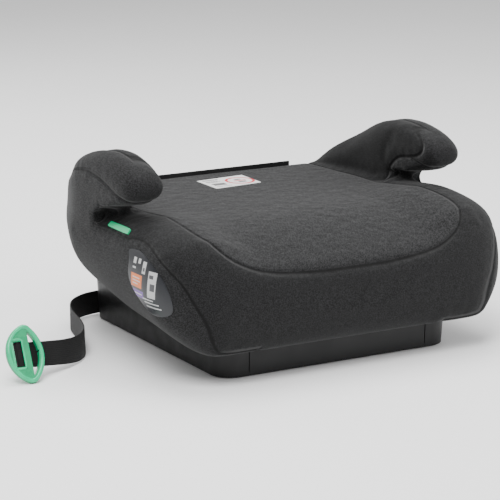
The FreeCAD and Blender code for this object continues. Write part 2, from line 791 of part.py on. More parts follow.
def strap_ring(middle, upward, outward):
    """Section of the strap as a closed wire."""
    tall = upward * (size("strap_wide") / 2.0)
    thin = outward * (size("strap_thick") / 2.0)
    ring = [middle - tall - thin, middle + tall - thin, middle + tall + thin, middle - tall + thin]
    return Part.makePolygon(ring + ring[:1])


def make_strap():
    """Webbing from the anchor plate round to its loop on the clip's pin."""
    place = clip_place()
    half = size("strap_wide") / 2.0
    hole = size("pin_wide") / 2.0 + size("pin_gap")
    outer = hole + size("strap_thick")
    leg_middle = place.multVec(Vector(LEG_LONG, 0.0, -outer + size("strap_thick") / 2.0))
    last = Vector(*STRAP_ROUTE[-1], 0.0)
    towards = (Vector(leg_middle.x, leg_middle.y, 0.0) - last).normalize()
    end = last + towards * TWIST_START
    blind = (-size("plate_right") - size("plate_tail") - 2.0, STRAP_ROUTE[0][1])
    height = size("strap_centre")
    path = rounded_path((*STRAP_ROUTE, (end.x, end.y)), height)
    upright = Vector(0.0, 0.0, 1.0)
    first = Vector(*STRAP_ROUTE[0], height)
    run = path.makePipeShell([strap_ring(first, upright, Vector(0.0, 1.0, 0.0))], True, False)
    tail = block(first.x, blind[0], first.y - size("strap_thick") / 2.0,
                 first.y + size("strap_thick") / 2.0, height - half, height + half)
    twist = Part.makeLoft(
        [strap_ring(Vector(end.x, end.y, height), upright, upright.cross(towards)),
         strap_ring(leg_middle, clip_axes()[1], clip_axes()[2])], True, True)
    loop = Part.makeCylinder(outer, 2.0 * half, Vector(0.0, -half, 0.0), Vector(0.0, 1.0, 0.0))
    leg = block(0.0, LEG_LONG, -half, half, -outer, -hole)
    tab = block(0.0, TAB_LONG, -half, half, -hole, -hole + size("strap_thick"))
    end_piece = loop.fuse(leg).fuse(tab)
    end_piece = end_piece.cut(Part.makeCylinder(hole, 2.0 * half + 2.0, Vector(0.0, -half - 1.0, 0.0),
                                                Vector(0.0, 1.0, 0.0)))
    end_piece.Placement = place
    print(f"strap run volume {run.Volume:.0f}, section times length"
          f" {size('strap_wide') * size('strap_thick') * path.Length:.0f}, length {path.Length:.0f}")
    keep(run.fuse(tail).fuse(twist).fuse(end_piece).removeSplitter(), "guide_strap")


def clip_outline(sketch):
    """Lens of two arcs between the clip's two tips."""
    tip = size("clip_half_high")
    at = size("clip_tip_at")
    left = sketch.addGeometry(Part.Arc(Vector(at, tip, 0.0), Vector(-size("clip_left"), 0.0, 0.0),
                                       Vector(at, -tip, 0.0)), False)
    right = sketch.addGeometry(Part.Arc(Vector(at, -tip, 0.0), Vector(size("clip_right"), 0.0, 0.0),
                                        Vector(at, tip, 0.0)), False)
    bind_arc(sketch, left, 1, 2, "sizes.clip_tip_at", "sizes.clip_half_high",
             lens_radius("sizes.clip_half_high", "(sizes.clip_tip_at + sizes.clip_left)"))
    sketch.addConstraint(Sketcher.Constraint("Coincident", left, 2, right, 1))
    sketch.addConstraint(Sketcher.Constraint("Coincident", left, 1, right, 2))
    fix_radius(sketch, right,
               lens_radius("sizes.clip_half_high", "(sizes.clip_right - sizes.clip_tip_at)"))


def lens_radius(half_chord, rise):
    """Expression of the radius of an arc with this half chord and rise."""
    return f"({half_chord} * {half_chord} + {rise} * {rise}) / (2 * {rise})"


def bind_arc(sketch, index, top, bottom, across, half_high, radius):
    """Bind an upright arc's two ends and its radius."""
    pin_point(sketch, index, top, across, half_high)
    pin_point(sketch, index, bottom, across, f"-({half_high})")
    fix_radius(sketch, index, radius)


def round_edges(body, name, feature, radius, chosen):
    """Fillet the edges of a feature that chosen accepts."""
    edges = [f"Edge{index}" for index, edge in enumerate(feature.Shape.Edges, start=1) if chosen(edge)]
    fillet = body.newObject("PartDesign::Fillet", name)
    fillet.Base = (feature, edges)
    bound(fillet, Radius=radius)
    doc.recompute()
    return fillet


def stands(edge):
    """Whether an edge runs straight through the clip's thickness."""
    rise = edge.Vertexes[-1].Point - edge.Vertexes[0].Point
    return rise.Length > 0.5 and abs(rise.z) > 0.99 * rise.Length


def make_clip():
    """Green belt clip: plate with strap window, fixed bar, belt slot and split outer bar."""
    body = new_body("belt_clip")
    low = "sizes.pin_back - sizes.clip_back"
    thick = "sizes.clip_front + sizes.clip_back"
    plate = sketch_on(body, "plate", "XY_Plane", low)
    clip_outline(plate)
    plate_pad = pad(body, plate, thick)
    tips = round_edges(body, "tips", plate_pad, "sizes.clip_round", stands)
    round_edges(body, "rim_edge", tips, "sizes.clip_edge", lambda edge: not stands(edge))
    window = sketch_on(body, "window", "XY_Plane", low)
    rectangle(window, "-sizes.window_left", "sizes.clip_bar_left",
              "-sizes.strap_wide / 2 - sizes.lay_gap", "sizes.strap_wide / 2 + sizes.lay_gap")
    pocket(body, window, thick, backwards=True)
    add_belt_slot(body, low, thick)
    add_cheeks(body, low)
    split = sketch_on(body, "split", "XY_Plane", low)
    outline(split, (("20", "-1"), ("sizes.clip_right + 2", "7.5"), ("sizes.clip_right + 2", "9.5"), ("20", "1")))
    pocket(body, split, thick, backwards=True)
    for name, backwards in (("pin_hole_up", False), ("pin_hole_down", True)):
        hole = sketch_on(body, name, "XZ_Plane")
        circle(hole, "0", "0", "sizes.pin_wide / 2")
        pocket(body, hole, "sizes.pin_long / 2", backwards)
    body.Placement = clip_place()
    return body


def add_belt_slot(body, low, thick):
    """Slot that the vehicle belt slips into, curved along the outer bar."""
    half_chord = size("clip_half_high")
    rise = size("clip_right") - size("clip_tip_at")
    outer = (half_chord ** 2 + rise ** 2) / (2.0 * rise)
    inner = outer - size("clip_rim")
    centre = size("clip_right") - outer
    reach = math.sqrt(inner ** 2 - (size("clip_bar_right") - centre) ** 2)
    slot = sketch_on(body, "belt_slot", "XY_Plane", low)
    side = size("clip_bar_right")
    bar = slot.addGeometry(Part.LineSegment(Vector(side, reach, 0.0), Vector(side, -reach, 0.0)), False)
    bow = slot.addGeometry(Part.Arc(Vector(side, -reach, 0.0), Vector(centre + inner, 0.0, 0.0),
                                    Vector(side, reach, 0.0)), False)
    slot.addConstraint(Sketcher.Constraint("Coincident", bar, 2, bow, 1))
    slot.addConstraint(Sketcher.Constraint("Coincident", bar, 1, bow, 2))
    pin_point(slot, bar, 1, "sizes.clip_bar_right", f"{reach}")
    pin_point(slot, bar, 2, "sizes.clip_bar_right", f"-{reach}")
    fix_radius(slot, bow,
               lens_radius("sizes.clip_half_high", "(sizes.clip_right - sizes.clip_tip_at)")
               + " - sizes.clip_rim")
    pocket(body, slot, thick, backwards=True)


def add_cheeks(body, low):
    """Two cheeks behind the plate that hold the pin's ends."""
    cheeks = sketch_on(body, "cheeks", "XY_Plane", "-sizes.pin_wide / 2 - 1.2")
    near = "sizes.strap_wide / 2 + sizes.lay_gap"
    far = "sizes.pin_long / 2 + 1.5"
    rectangle(cheeks, "-4", "4", near, far)
    rectangle(cheeks, "-4", "4", f"-({far})", f"-({near})")
    pad(body, cheeks, "sizes.pin_wide / 2 + 2 + sizes.pin_back - sizes.clip_back")


def make_pin():
    """Steel pin that the strap's loop turns on."""
    pin = doc.addObject("Part::Cylinder", "clip_pin")
    pin.Label = "clip_pin"
    bound(pin, Radius="sizes.pin_wide / 2", Height="sizes.pin_long")
    lie = Placement(Vector(0.0, -size("pin_long") / 2.0, 0.0), Rotation(Vector(1.0, 0.0, 0.0), -90.0))
    pin.Placement = clip_place().multiply(lie)


# ---------------------------------------------------------------- assembly

NODES = (
    "base_shell", "seat_shell", "seat_foam", "front_foam", "side_foam_left", "side_foam_right",
    "seat_cover", "front_cover", "side_cover_left", "side_cover_right",
    "arm_core_left", "arm_core_right", "arm_foam_left", "arm_foam_right",
    "arm_inner_cover_left", "arm_inner_cover_right", "arm_outer_cover_left", "arm_outer_cover_right",
    "belt_guide_left", "belt_guide_right", "seat_label", "side_label", "rear_trim",
    "base_screws", "anchor_screws", "rubber_feet", "anchor_plate",
    "guide_strap", "belt_clip", "clip_pin",
)


def build():
    """Make every sub-part."""
    thick = size("cover_thick")
    gap = size("lay_gap")
    shell_inset = thick + size("foam_thick") + gap
    outer = cushion(0.0)
    shell_outer = cushion(shell_inset)
    shell_inner = cushion(shell_inset + size("shell_wall"), size("shell_wall"))
    base = make_base_blank()
    holes = Part.makeCompound([anchor_hole(across) for across in anchor_spots()])
    above = block(-size("overall_wide"), size("overall_wide"), rear_plane() - 1.0, size("overall_deep"),
                  shell_floor(rear_plane()), size("base_high") + 10.0)
    keep(main_solid(base.Shape.cut(shell_outer).cut(above).cut(holes)), "base_shell")
    keep(make_seat_shell(shell_outer, shell_inner), "seat_shell")
    arm_holes = [make_arm(name, hand, outer, shell_outer) for name, hand in SIDES]
    passage = base_passage(gap)
    make_covers(outer, cushion(thick), passage, arm_holes)
    make_foams(cushion(thick + gap), shell_outer, passage, arm_holes)
    make_labels(outer)
    make_guides(cushion(thick))
    make_rear_trim()
    make_fasteners()
    make_anchor(base.Shape)
    make_strap()
    make_clip()
    make_pin()
    doc.recompute()


def export():
    """Check every object and write one file for each sub-part."""
    for item in doc.Objects:
        if "Invalid" in item.State or "Error" in item.State:
            raise RuntimeError(f"{item.Label} failed: {item.State}")
    found = {item.Label: item for item in doc.Objects}
    for label in NODES:
        shape = found[label].Shape
        if shape.isNull() or not shape.isValid() or not shape.Solids:
            raise RuntimeError(f"{label} has no valid solid")
    os.makedirs("parts", exist_ok=True)
    for label in NODES:
        shape = found[label].Shape
        shape.exportStep(f"parts/{label}.step")
        print(f"{label}: {len(shape.Solids)} solid(s), {shape.Volume:.0f} mm3")


fill_sheet()
build()
export()
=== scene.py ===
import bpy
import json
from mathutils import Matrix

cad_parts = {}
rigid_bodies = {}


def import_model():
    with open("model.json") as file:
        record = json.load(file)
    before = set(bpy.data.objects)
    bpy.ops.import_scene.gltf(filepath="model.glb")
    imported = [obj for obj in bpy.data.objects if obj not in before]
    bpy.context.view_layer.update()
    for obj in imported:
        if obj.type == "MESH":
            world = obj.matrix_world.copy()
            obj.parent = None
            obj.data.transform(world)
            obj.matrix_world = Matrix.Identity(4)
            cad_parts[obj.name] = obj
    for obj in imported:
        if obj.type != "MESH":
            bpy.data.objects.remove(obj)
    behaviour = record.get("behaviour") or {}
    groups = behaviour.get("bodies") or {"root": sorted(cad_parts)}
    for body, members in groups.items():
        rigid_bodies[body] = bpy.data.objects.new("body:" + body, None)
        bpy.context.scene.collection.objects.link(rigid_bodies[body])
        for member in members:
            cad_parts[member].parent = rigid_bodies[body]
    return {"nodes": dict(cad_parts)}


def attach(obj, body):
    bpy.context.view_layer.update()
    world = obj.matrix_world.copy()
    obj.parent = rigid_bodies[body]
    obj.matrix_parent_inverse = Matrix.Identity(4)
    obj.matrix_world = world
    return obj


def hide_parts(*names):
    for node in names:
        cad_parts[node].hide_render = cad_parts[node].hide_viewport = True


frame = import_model()
"""Booster seat: padded cover, moulded base, guide strap and belt clip."""

import json
import logging
import math
from dataclasses import dataclass, field
from enum import Enum

import bmesh
import bpy
import numpy as np
from mathutils import Matrix, Vector
from mathutils.bvhtree import BVHTree

LOG = logging.getLogger("booster")
MM = 0.001
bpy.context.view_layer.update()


class Panel(Enum):
    """Field names that part the cover into its panels."""

    SEAT = "panel_seat"
    INNER = "panel_inner"
    ARM = "panel_arm"
    BORDER = "panel_border"


class Side(Enum):
    """Sides of the seat, as the sign of their x."""

    LEFT = -1.0
    RIGHT = 1.0


# ---------------------------------------------------------------- general mesh helpers

def mesh_object(name: str, points: list, faces: list) -> bpy.types.Object:
    """Make a mesh object in the scene.

    Args:
        name: Name of the piece.
        points: Corners in metres.
        faces: Tuples of corner numbers.

    Returns:
        The new object.
    """
    mesh = bpy.data.meshes.new(name)
    mesh.from_pydata([tuple(point) for point in points], [], faces)
    mesh.update()
    piece = bpy.data.objects.new(name, mesh)
    bpy.context.scene.collection.objects.link(piece)
    return piece


def only(piece: bpy.types.Object) -> None:
    """Make one object the only one selected, and the active one."""
    for other in bpy.context.view_layer.objects:
        other.select_set(False)
    piece.select_set(True)
    bpy.context.view_layer.objects.active = piece


def modified(piece: bpy.types.Object, kind: str, **settings: object) -> None:
    """Add a modifier and apply it at once.

    Args:
        piece: Object to change.
        kind: Modifier type.
        **settings: Values set on the modifier.
    """
    only(piece)
    modifier = piece.modifiers.new(kind.title(), kind)
    for key, value in settings.items():
        setattr(modifier, key, value)
    bpy.ops.object.modifier_apply(modifier=modifier.name)


def closed_up(piece: bpy.types.Object, smooth_angle: float = 40.0) -> None:
    """Merge doubles, turn faces outwards and shade smooth by angle."""
    work = bmesh.new()
    work.from_mesh(piece.data)
    bmesh.ops.remove_doubles(work, verts=work.verts, dist=1e-6)
    bmesh.ops.recalc_face_normals(work, faces=work.faces)
    work.to_mesh(piece.data)
    work.free()
    only(piece)
    bpy.ops.object.shade_smooth_by_angle(angle=math.radians(smooth_angle))


def coordinates(piece: bpy.types.Object) -> np.ndarray:
    """Corners of a mesh object as an array of rows."""
    flat = np.zeros(len(piece.data.vertices) * 3)
    piece.data.vertices.foreach_get("co", flat)
    return flat.reshape(-1, 3)


def set_coordinates(piece: bpy.types.Object, rows: np.ndarray) -> None:
    """Write the corners of a mesh object back."""
    piece.data.vertices.foreach_set("co", rows.ravel())
    piece.data.update()


def placed(work: bmesh.types.BMesh, name: str) -> bpy.types.Object:
    """Turn a working mesh into an object in the scene, and free the working mesh."""
    mesh = bpy.data.meshes.new(name)
    work.to_mesh(mesh)
    work.free()
    piece = bpy.data.objects.new(name, mesh)
    bpy.context.scene.collection.objects.link(piece)
    return piece


def tube_faces(rows: int, count: int) -> list:
    """Faces between outlines in a row, with both ends closed.

    Args:
        rows: Number of outlines.
        count: Corners of each outline.

    Returns:
        Tuples of corner numbers.
    """
    faces = []
    for row in range(rows - 1):
        for k in range(count):
            a, b = row * count + k, row * count + (k + 1) % count
            faces.append((a, b, b + count, a + count))
    faces.append(tuple(range(count)))
    faces.append(tuple(range((rows - 1) * count, rows * count)))
    return faces


def clamped(share: float) -> float:
    """A share kept between 0 and 1."""
    return min(max(share, 0.0), 1.0)


def eased(share: float) -> float:
    """Smooth step of a share between 0 and 1."""
    share = clamped(share)
    return share * share * (3.0 - 2.0 * share)


def through(points: list, steps: int, closed: bool) -> np.ndarray:
    """Smooth curve through points.

    Args:
        points: Two numbers each.
        steps: Points made for each span.
        closed: Whether the curve returns to its start.

    Returns:
        Rows of points on the curve.
    """
    rows = np.array(points, float)
    count = len(rows)
    made = []
    for index in range(count if closed else count - 1):
        if closed:
            before, start, end, after = (rows[(index + k) % count] for k in (-1, 0, 1, 2))
        else:
            before, start = rows[max(index - 1, 0)], rows[index]
            end, after = rows[index + 1], rows[min(index + 2, count - 1)]
        for step in range(steps):
            t = step / steps
            made.append(0.5 * (2 * start + (end - before) * t
                               + (2 * before - 5 * start + 4 * end - after) * t ** 2
                               + (3 * start - before - 3 * end + after) * t ** 3))
    if not closed:
        made.append(rows[-1])
    return np.array(made)


def inside_distance(across: np.ndarray, along: np.ndarray, ring: np.ndarray) -> np.ndarray:
    """Distance to a closed outline, positive inside it.

    Args:
        across: First coordinate of each point.
        along: Second coordinate of each point.
        ring: Rows of the outline's corners.

    Returns:
        Signed distances in the outline's unit.
    """
    nearest = np.full(len(across), 1e9)
    inside = np.zeros(len(across), bool)
    for start, end in zip(ring, np.roll(ring, -1, axis=0)):
        run = end - start
        length = max(float(run @ run), 1e-12)
        t = np.clip(((across - start[0]) * run[0] + (along - start[1]) * run[1]) / length, 0, 1)
        gap = np.hypot(across - start[0] - t * run[0], along - start[1] - t * run[1])
        nearest = np.minimum(nearest, gap)
        crosses = (start[1] > along) != (end[1] > along)
        slope = run[1] if abs(run[1]) > 1e-12 else 1e-12
        inside ^= crosses & (across < start[0] + (along - start[1]) * run[0] / slope)
    return np.where(inside, nearest, -nearest)


# ---------------------------------------------------------------- finishes

class Recipe:
    """Short way to wire a node material."""

    def __init__(self, name: str) -> None:
        """Start an empty material with a Principled shader."""
        self.material = bpy.data.materials.new(name)
        self.material.use_nodes = True
        self.tree = self.material.node_tree
        self.shader = self.tree.nodes["Principled BSDF"]
        self.place = self.tree.nodes.new("ShaderNodeTexCoord")

    def node(self, kind: str, **settings: object) -> bpy.types.Node:
        """Add a node and set its plain properties."""
        made = self.tree.nodes.new(kind)
        for key, value in settings.items():
            setattr(made, key, value)
        return made

    def link(self, source: object, target: object) -> None:
        """Join two sockets."""
        self.tree.links.new(source, target)

    def feed(self, target: object, value: object) -> None:
        """Put a socket, a number or a colour into a socket."""
        if isinstance(value, bpy.types.NodeSocket):
            self.link(value, target)
        else:
            target.default_value = value

    def math(self, operation: str, first: object, second: object = 0.0,
             third: object = 0.0) -> bpy.types.NodeSocket:
        """Add a Math node and return its result."""
        made = self.node("ShaderNodeMath", operation=operation)
        for socket, value in zip(made.inputs, (first, second, third)):
            self.feed(socket, value)
        return made.outputs[0]

    def ramp(self, value: object, low: float, high: float, start: float = 0.0,
             end: float = 1.0) -> bpy.types.NodeSocket:
        """Smooth step of a value from low to high, giving start to end."""
        made = self.node("ShaderNodeMapRange", interpolation_type="SMOOTHSTEP")
        for socket, given in zip(made.inputs, (value, low, high, start, end)):
            self.feed(socket, given)
        return made.outputs[0]

    def noise(self, scale: float, detail: float = 2.0, stretch: tuple = (1, 1, 1),
              uv: bool = False) -> bpy.types.NodeSocket:
        """Noise on the piece's own coordinates, stretched along its axes."""
        shift = self.node("ShaderNodeMapping")
        shift.inputs["Scale"].default_value = stretch
        self.link(self.place.outputs["UV" if uv else "Object"], shift.inputs[0])
        made = self.node("ShaderNodeTexNoise")
        self.link(shift.outputs[0], made.inputs["Vector"])
        made.inputs["Scale"].default_value = scale
        made.inputs["Detail"].default_value = detail
        return made.outputs[0]

    def cells(self, scale: float) -> bpy.types.NodeSocket:
        """Distance pattern of small cells, as in a knit."""
        made = self.node("ShaderNodeTexVoronoi")
        self.link(self.place.outputs["Object"], made.inputs["Vector"])
        made.inputs["Scale"].default_value = scale
        return made.outputs["Distance"]

    def attribute(self, name: str) -> bpy.types.NodeSocket:
        """Value of a float attribute of the mesh."""
        made = self.node("ShaderNodeAttribute", attribute_name=name)
        return made.outputs["Fac"]

    def mix(self, share: object, first: object, second: object) -> bpy.types.NodeSocket:
        """Mix of two colours."""
        made = self.node("ShaderNodeMix", data_type="RGBA")
        self.feed(made.inputs[0], share)
        self.feed(made.inputs[6], first)
        self.feed(made.inputs[7], second)
        return made.outputs[2]

    def scaled(self, colour: object, factor: object) -> bpy.types.NodeSocket:
        """A colour made lighter or darker by a factor."""
        made = self.node("ShaderNodeVectorMath", operation="SCALE")
        self.feed(made.inputs[0], colour)
        self.feed(made.inputs["Scale"], factor)
        return made.outputs[0]

    def bump(self, height: object, distance: float, strength: float = 1.0,
             under: object = None) -> bpy.types.NodeSocket:
        """Bump node, on top of another one where given."""
        made = self.node("ShaderNodeBump")
        made.inputs["Strength"].default_value = strength
        made.inputs["Distance"].default_value = distance
        self.feed(made.inputs["Height"], height)
        if under is not None:
            self.link(under, made.inputs["Normal"])
        return made.outputs[0]


@dataclass(frozen=True)
class CoverFabric:
    """Charcoal melange knit with a darker fine knit on the arms' inner panels."""

    seat: tuple = (0.0125, 0.0126, 0.0131)
    border: tuple = (0.0068, 0.0069, 0.0072)
    side: tuple = (0.0088, 0.0089, 0.0093)
    arm: tuple = (0.0080, 0.0081, 0.0085)
    inner: tuple = (0.0034, 0.0035, 0.0037)

    def make(self) -> bpy.types.Material:
        """Return the material, which reads the cover's panel fields."""
        r = Recipe("cover_fabric")
        values = [r.attribute(panel.value) for panel in Panel]
        colours = [self.seat, self.inner, self.arm, self.border]
        colour = (*self.side, 1.0)
        groove = 1.0
        for value, own in zip(reversed(values), reversed(colours)):
            colour = r.mix(r.ramp(value, -0.0002, 0.0002), colour, (*own, 1.0))
        taken = 0.0
        for value in values:
            away = r.math("ADD", r.math("ABSOLUTE", value), taken)
            groove = r.math("MINIMUM", away, groove)
            taken = r.math("ADD", taken, r.math("GREATER_THAN", value, 0.0))
        fleck = r.noise(1000.0, 0.0, (1.0, 0.28, 1.0))
        patch = r.noise(420.0, 1.0, (1.0, 0.30, 1.0))
        knit = r.cells(1100.0)
        shade = r.math("MULTIPLY", r.ramp(fleck, 0.34, 0.68, 0.40, 1.85),
                       r.ramp(patch, 0.3, 0.7, 0.86, 1.14))
        line = r.ramp(groove, 0.0003, 0.0016, 0.10, 1.0)
        shade = r.math("MULTIPLY", shade, line)
        r.link(r.scaled(colour, shade), r.shader.inputs["Base Color"])
        pucker = r.math("MULTIPLY", r.noise(75.0, 1.0), r.ramp(groove, 0.002, 0.022, 1.0, 0.0))
        coarse = r.bump(pucker, 0.004, 0.55)
        seam = r.bump(r.ramp(groove, 0.0, 0.0035), 0.0022, 1.0, coarse)
        cloth = r.bump(r.math("ADD", knit, fleck), 0.0001, 0.2, seam)
        r.link(cloth, r.shader.inputs["Normal"])
        r.shader.inputs["Roughness"].default_value = 0.92
        r.shader.inputs["Specular IOR Level"].default_value = 0.25
        r.shader.inputs["Sheen Weight"].default_value = 0.06
        r.shader.inputs["Sheen Roughness"].default_value = 0.5
        return r.material


@dataclass(frozen=True)
class Moulding:
    """Moulded plastic with a fine grain and slightly worn gloss."""

    name: str
    colour: tuple
    rough: float = 0.42
    grain: float = 0.00006
    coat: float = 0.0
    shine: float = 0.35

    def make(self) -> bpy.types.Material:
        """Return the material."""
        r = Recipe(self.name)
        cloud = r.noise(60.0, 3.0)
        r.link(r.scaled((*self.colour[:3],), r.ramp(cloud, 0.3, 0.7, 0.92, 1.08)),
               r.shader.inputs["Base Color"])
        r.link(r.ramp(cloud, 0.3, 0.7, self.rough - 0.05, self.rough + 0.06),
               r.shader.inputs["Roughness"])
        r.link(r.bump(r.noise(1800.0, 2.0), self.grain, 0.5), r.shader.inputs["Normal"])
        r.shader.inputs["Specular IOR Level"].default_value = self.shine
        r.shader.inputs["Coat Weight"].default_value = self.coat
        r.shader.inputs["Coat Roughness"].default_value = 0.12
        return r.material


@dataclass(frozen=True)
class Webbing:
    """Woven polyester band, ribbed across and twilled along its length."""

    colour: tuple = (0.0022, 0.0022, 0.0025)

    def make(self) -> bpy.types.Material:
        """Return the material, which reads the band's own map in metres."""
        r = Recipe("webbing_weave")
        split = r.node("ShaderNodeSeparateXYZ")
        r.link(r.place.outputs["UV"], split.inputs[0])
        along, across = split.outputs[0], split.outputs[1]
        rib = r.math("ABSOLUTE", r.math("SINE", r.math("MULTIPLY", along, 2200.0)))
        cord = r.math("ABSOLUTE", r.math("SINE", r.math("MULTIPLY", across, 1500.0)))
        thread = r.math("MULTIPLY", rib, r.ramp(cord, 0.0, 0.8, 0.35, 1.0))
        stripe = r.ramp(r.math("ABSOLUTE", r.math("SUBTRACT", across, 0.014)), 0.0105, 0.0113,
                        1.0, 0.72)
        shade = r.math("MULTIPLY", r.math("MULTIPLY", r.ramp(thread, 0.0, 0.9, 0.55, 1.35), stripe),
                       r.ramp(r.noise(500.0, 2.0, uv=True), 0.3, 0.7, 0.85, 1.15))
        r.link(r.scaled(self.colour, shade), r.shader.inputs["Base Color"])
        r.link(r.bump(thread, 0.0004, 0.8), r.shader.inputs["Normal"])
        r.shader.inputs["Roughness"].default_value = 0.75
        r.shader.inputs["Specular IOR Level"].default_value = 0.25
        r.shader.inputs["Sheen Weight"].default_value = 0.04
        return r.material


@dataclass(frozen=True)
class Metal:
    """Zinc-plated steel with brush marks."""

    colour: tuple = (0.55, 0.55, 0.57)

    def make(self) -> bpy.types.Material:
        """Return the material."""
        r = Recipe("zinc_steel")
        mark = r.noise(300.0, 3.0, (1.0, 1.0, 0.08))
        r.link(r.scaled(self.colour, r.ramp(mark, 0.3, 0.7, 0.85, 1.1)),
               r.shader.inputs["Base Color"])
        r.link(r.ramp(mark, 0.3, 0.7, 0.28, 0.45), r.shader.inputs["Roughness"])
        r.link(r.bump(mark, 0.0001, 0.4), r.shader.inputs["Normal"])
        r.shader.inputs["Metallic"].default_value = 1.0
        return r.material


@dataclass(frozen=True)
class Foam:
    """Open-cell foam with fine pores."""

    colour: tuple = (0.50, 0.50, 0.47)

    def make(self) -> bpy.types.Material:
        """Return the material."""
        r = Recipe("foam_cells")
        pore = r.cells(700.0)
        r.link(r.scaled(self.colour, r.ramp(pore, 0.1, 0.8, 0.7, 1.1)),
               r.shader.inputs["Base Color"])
        r.link(r.bump(pore, 0.0008, 0.8), r.shader.inputs["Normal"])
        r.shader.inputs["Roughness"].default_value = 0.95
        return r.material


@dataclass(frozen=True)
class Print:
    """Printed cloth or film with plain colour blocks on the piece's own map.

    Each block is (left, right, low, high, colour) in shares of the map, and each
    ring is (middle, height, inner radius, outer radius, colour). The label's width
    is stretch times its height, so that a ring is round.
    """

    name: str
    ground: tuple
    blocks: tuple
    rough: float = 0.6
    rings: tuple = ()
    stretch: float = 1.2

    def make(self) -> bpy.types.Material:
        """Return the material."""
        r = Recipe(self.name)
        split = r.node("ShaderNodeSeparateXYZ")
        r.link(r.place.outputs["UV"], split.inputs[0])
        across, up = split.outputs[0], split.outputs[1]
        colour = (*self.ground, 1.0)
        for left, right, low, high, own in self.blocks:
            sides = r.math("MULTIPLY", r.math("GREATER_THAN", across, left),
                           r.math("LESS_THAN", across, right))
            ends = r.math("MULTIPLY", r.math("GREATER_THAN", up, low),
                          r.math("LESS_THAN", up, high))
            colour = r.mix(r.math("MULTIPLY", sides, ends), colour, (*own, 1.0))
        for middle, height, inner, outer, own in self.rings:
            aside = r.math("MULTIPLY", r.math("SUBTRACT", across, middle), self.stretch)
            above = r.math("SUBTRACT", up, height)
            away = r.math("SQRT", r.math("ADD", r.math("POWER", aside, 2.0), r.math("POWER", above, 2.0)))
            band = r.math("MULTIPLY", r.math("GREATER_THAN", away, inner),
                          r.math("LESS_THAN", away, outer))
            colour = r.mix(band, colour, (*own, 1.0))
        weave = r.noise(1400.0, 2.0)
        r.link(r.scaled(colour, r.ramp(weave, 0.3, 0.7, 0.9, 1.06)),
               r.shader.inputs["Base Color"])
        r.link(r.bump(weave, 0.0002, 0.4), r.shader.inputs["Normal"])
        r.shader.inputs["Roughness"].default_value = self.rough
        return r.material


# ---------------------------------------------------------------- padded cover

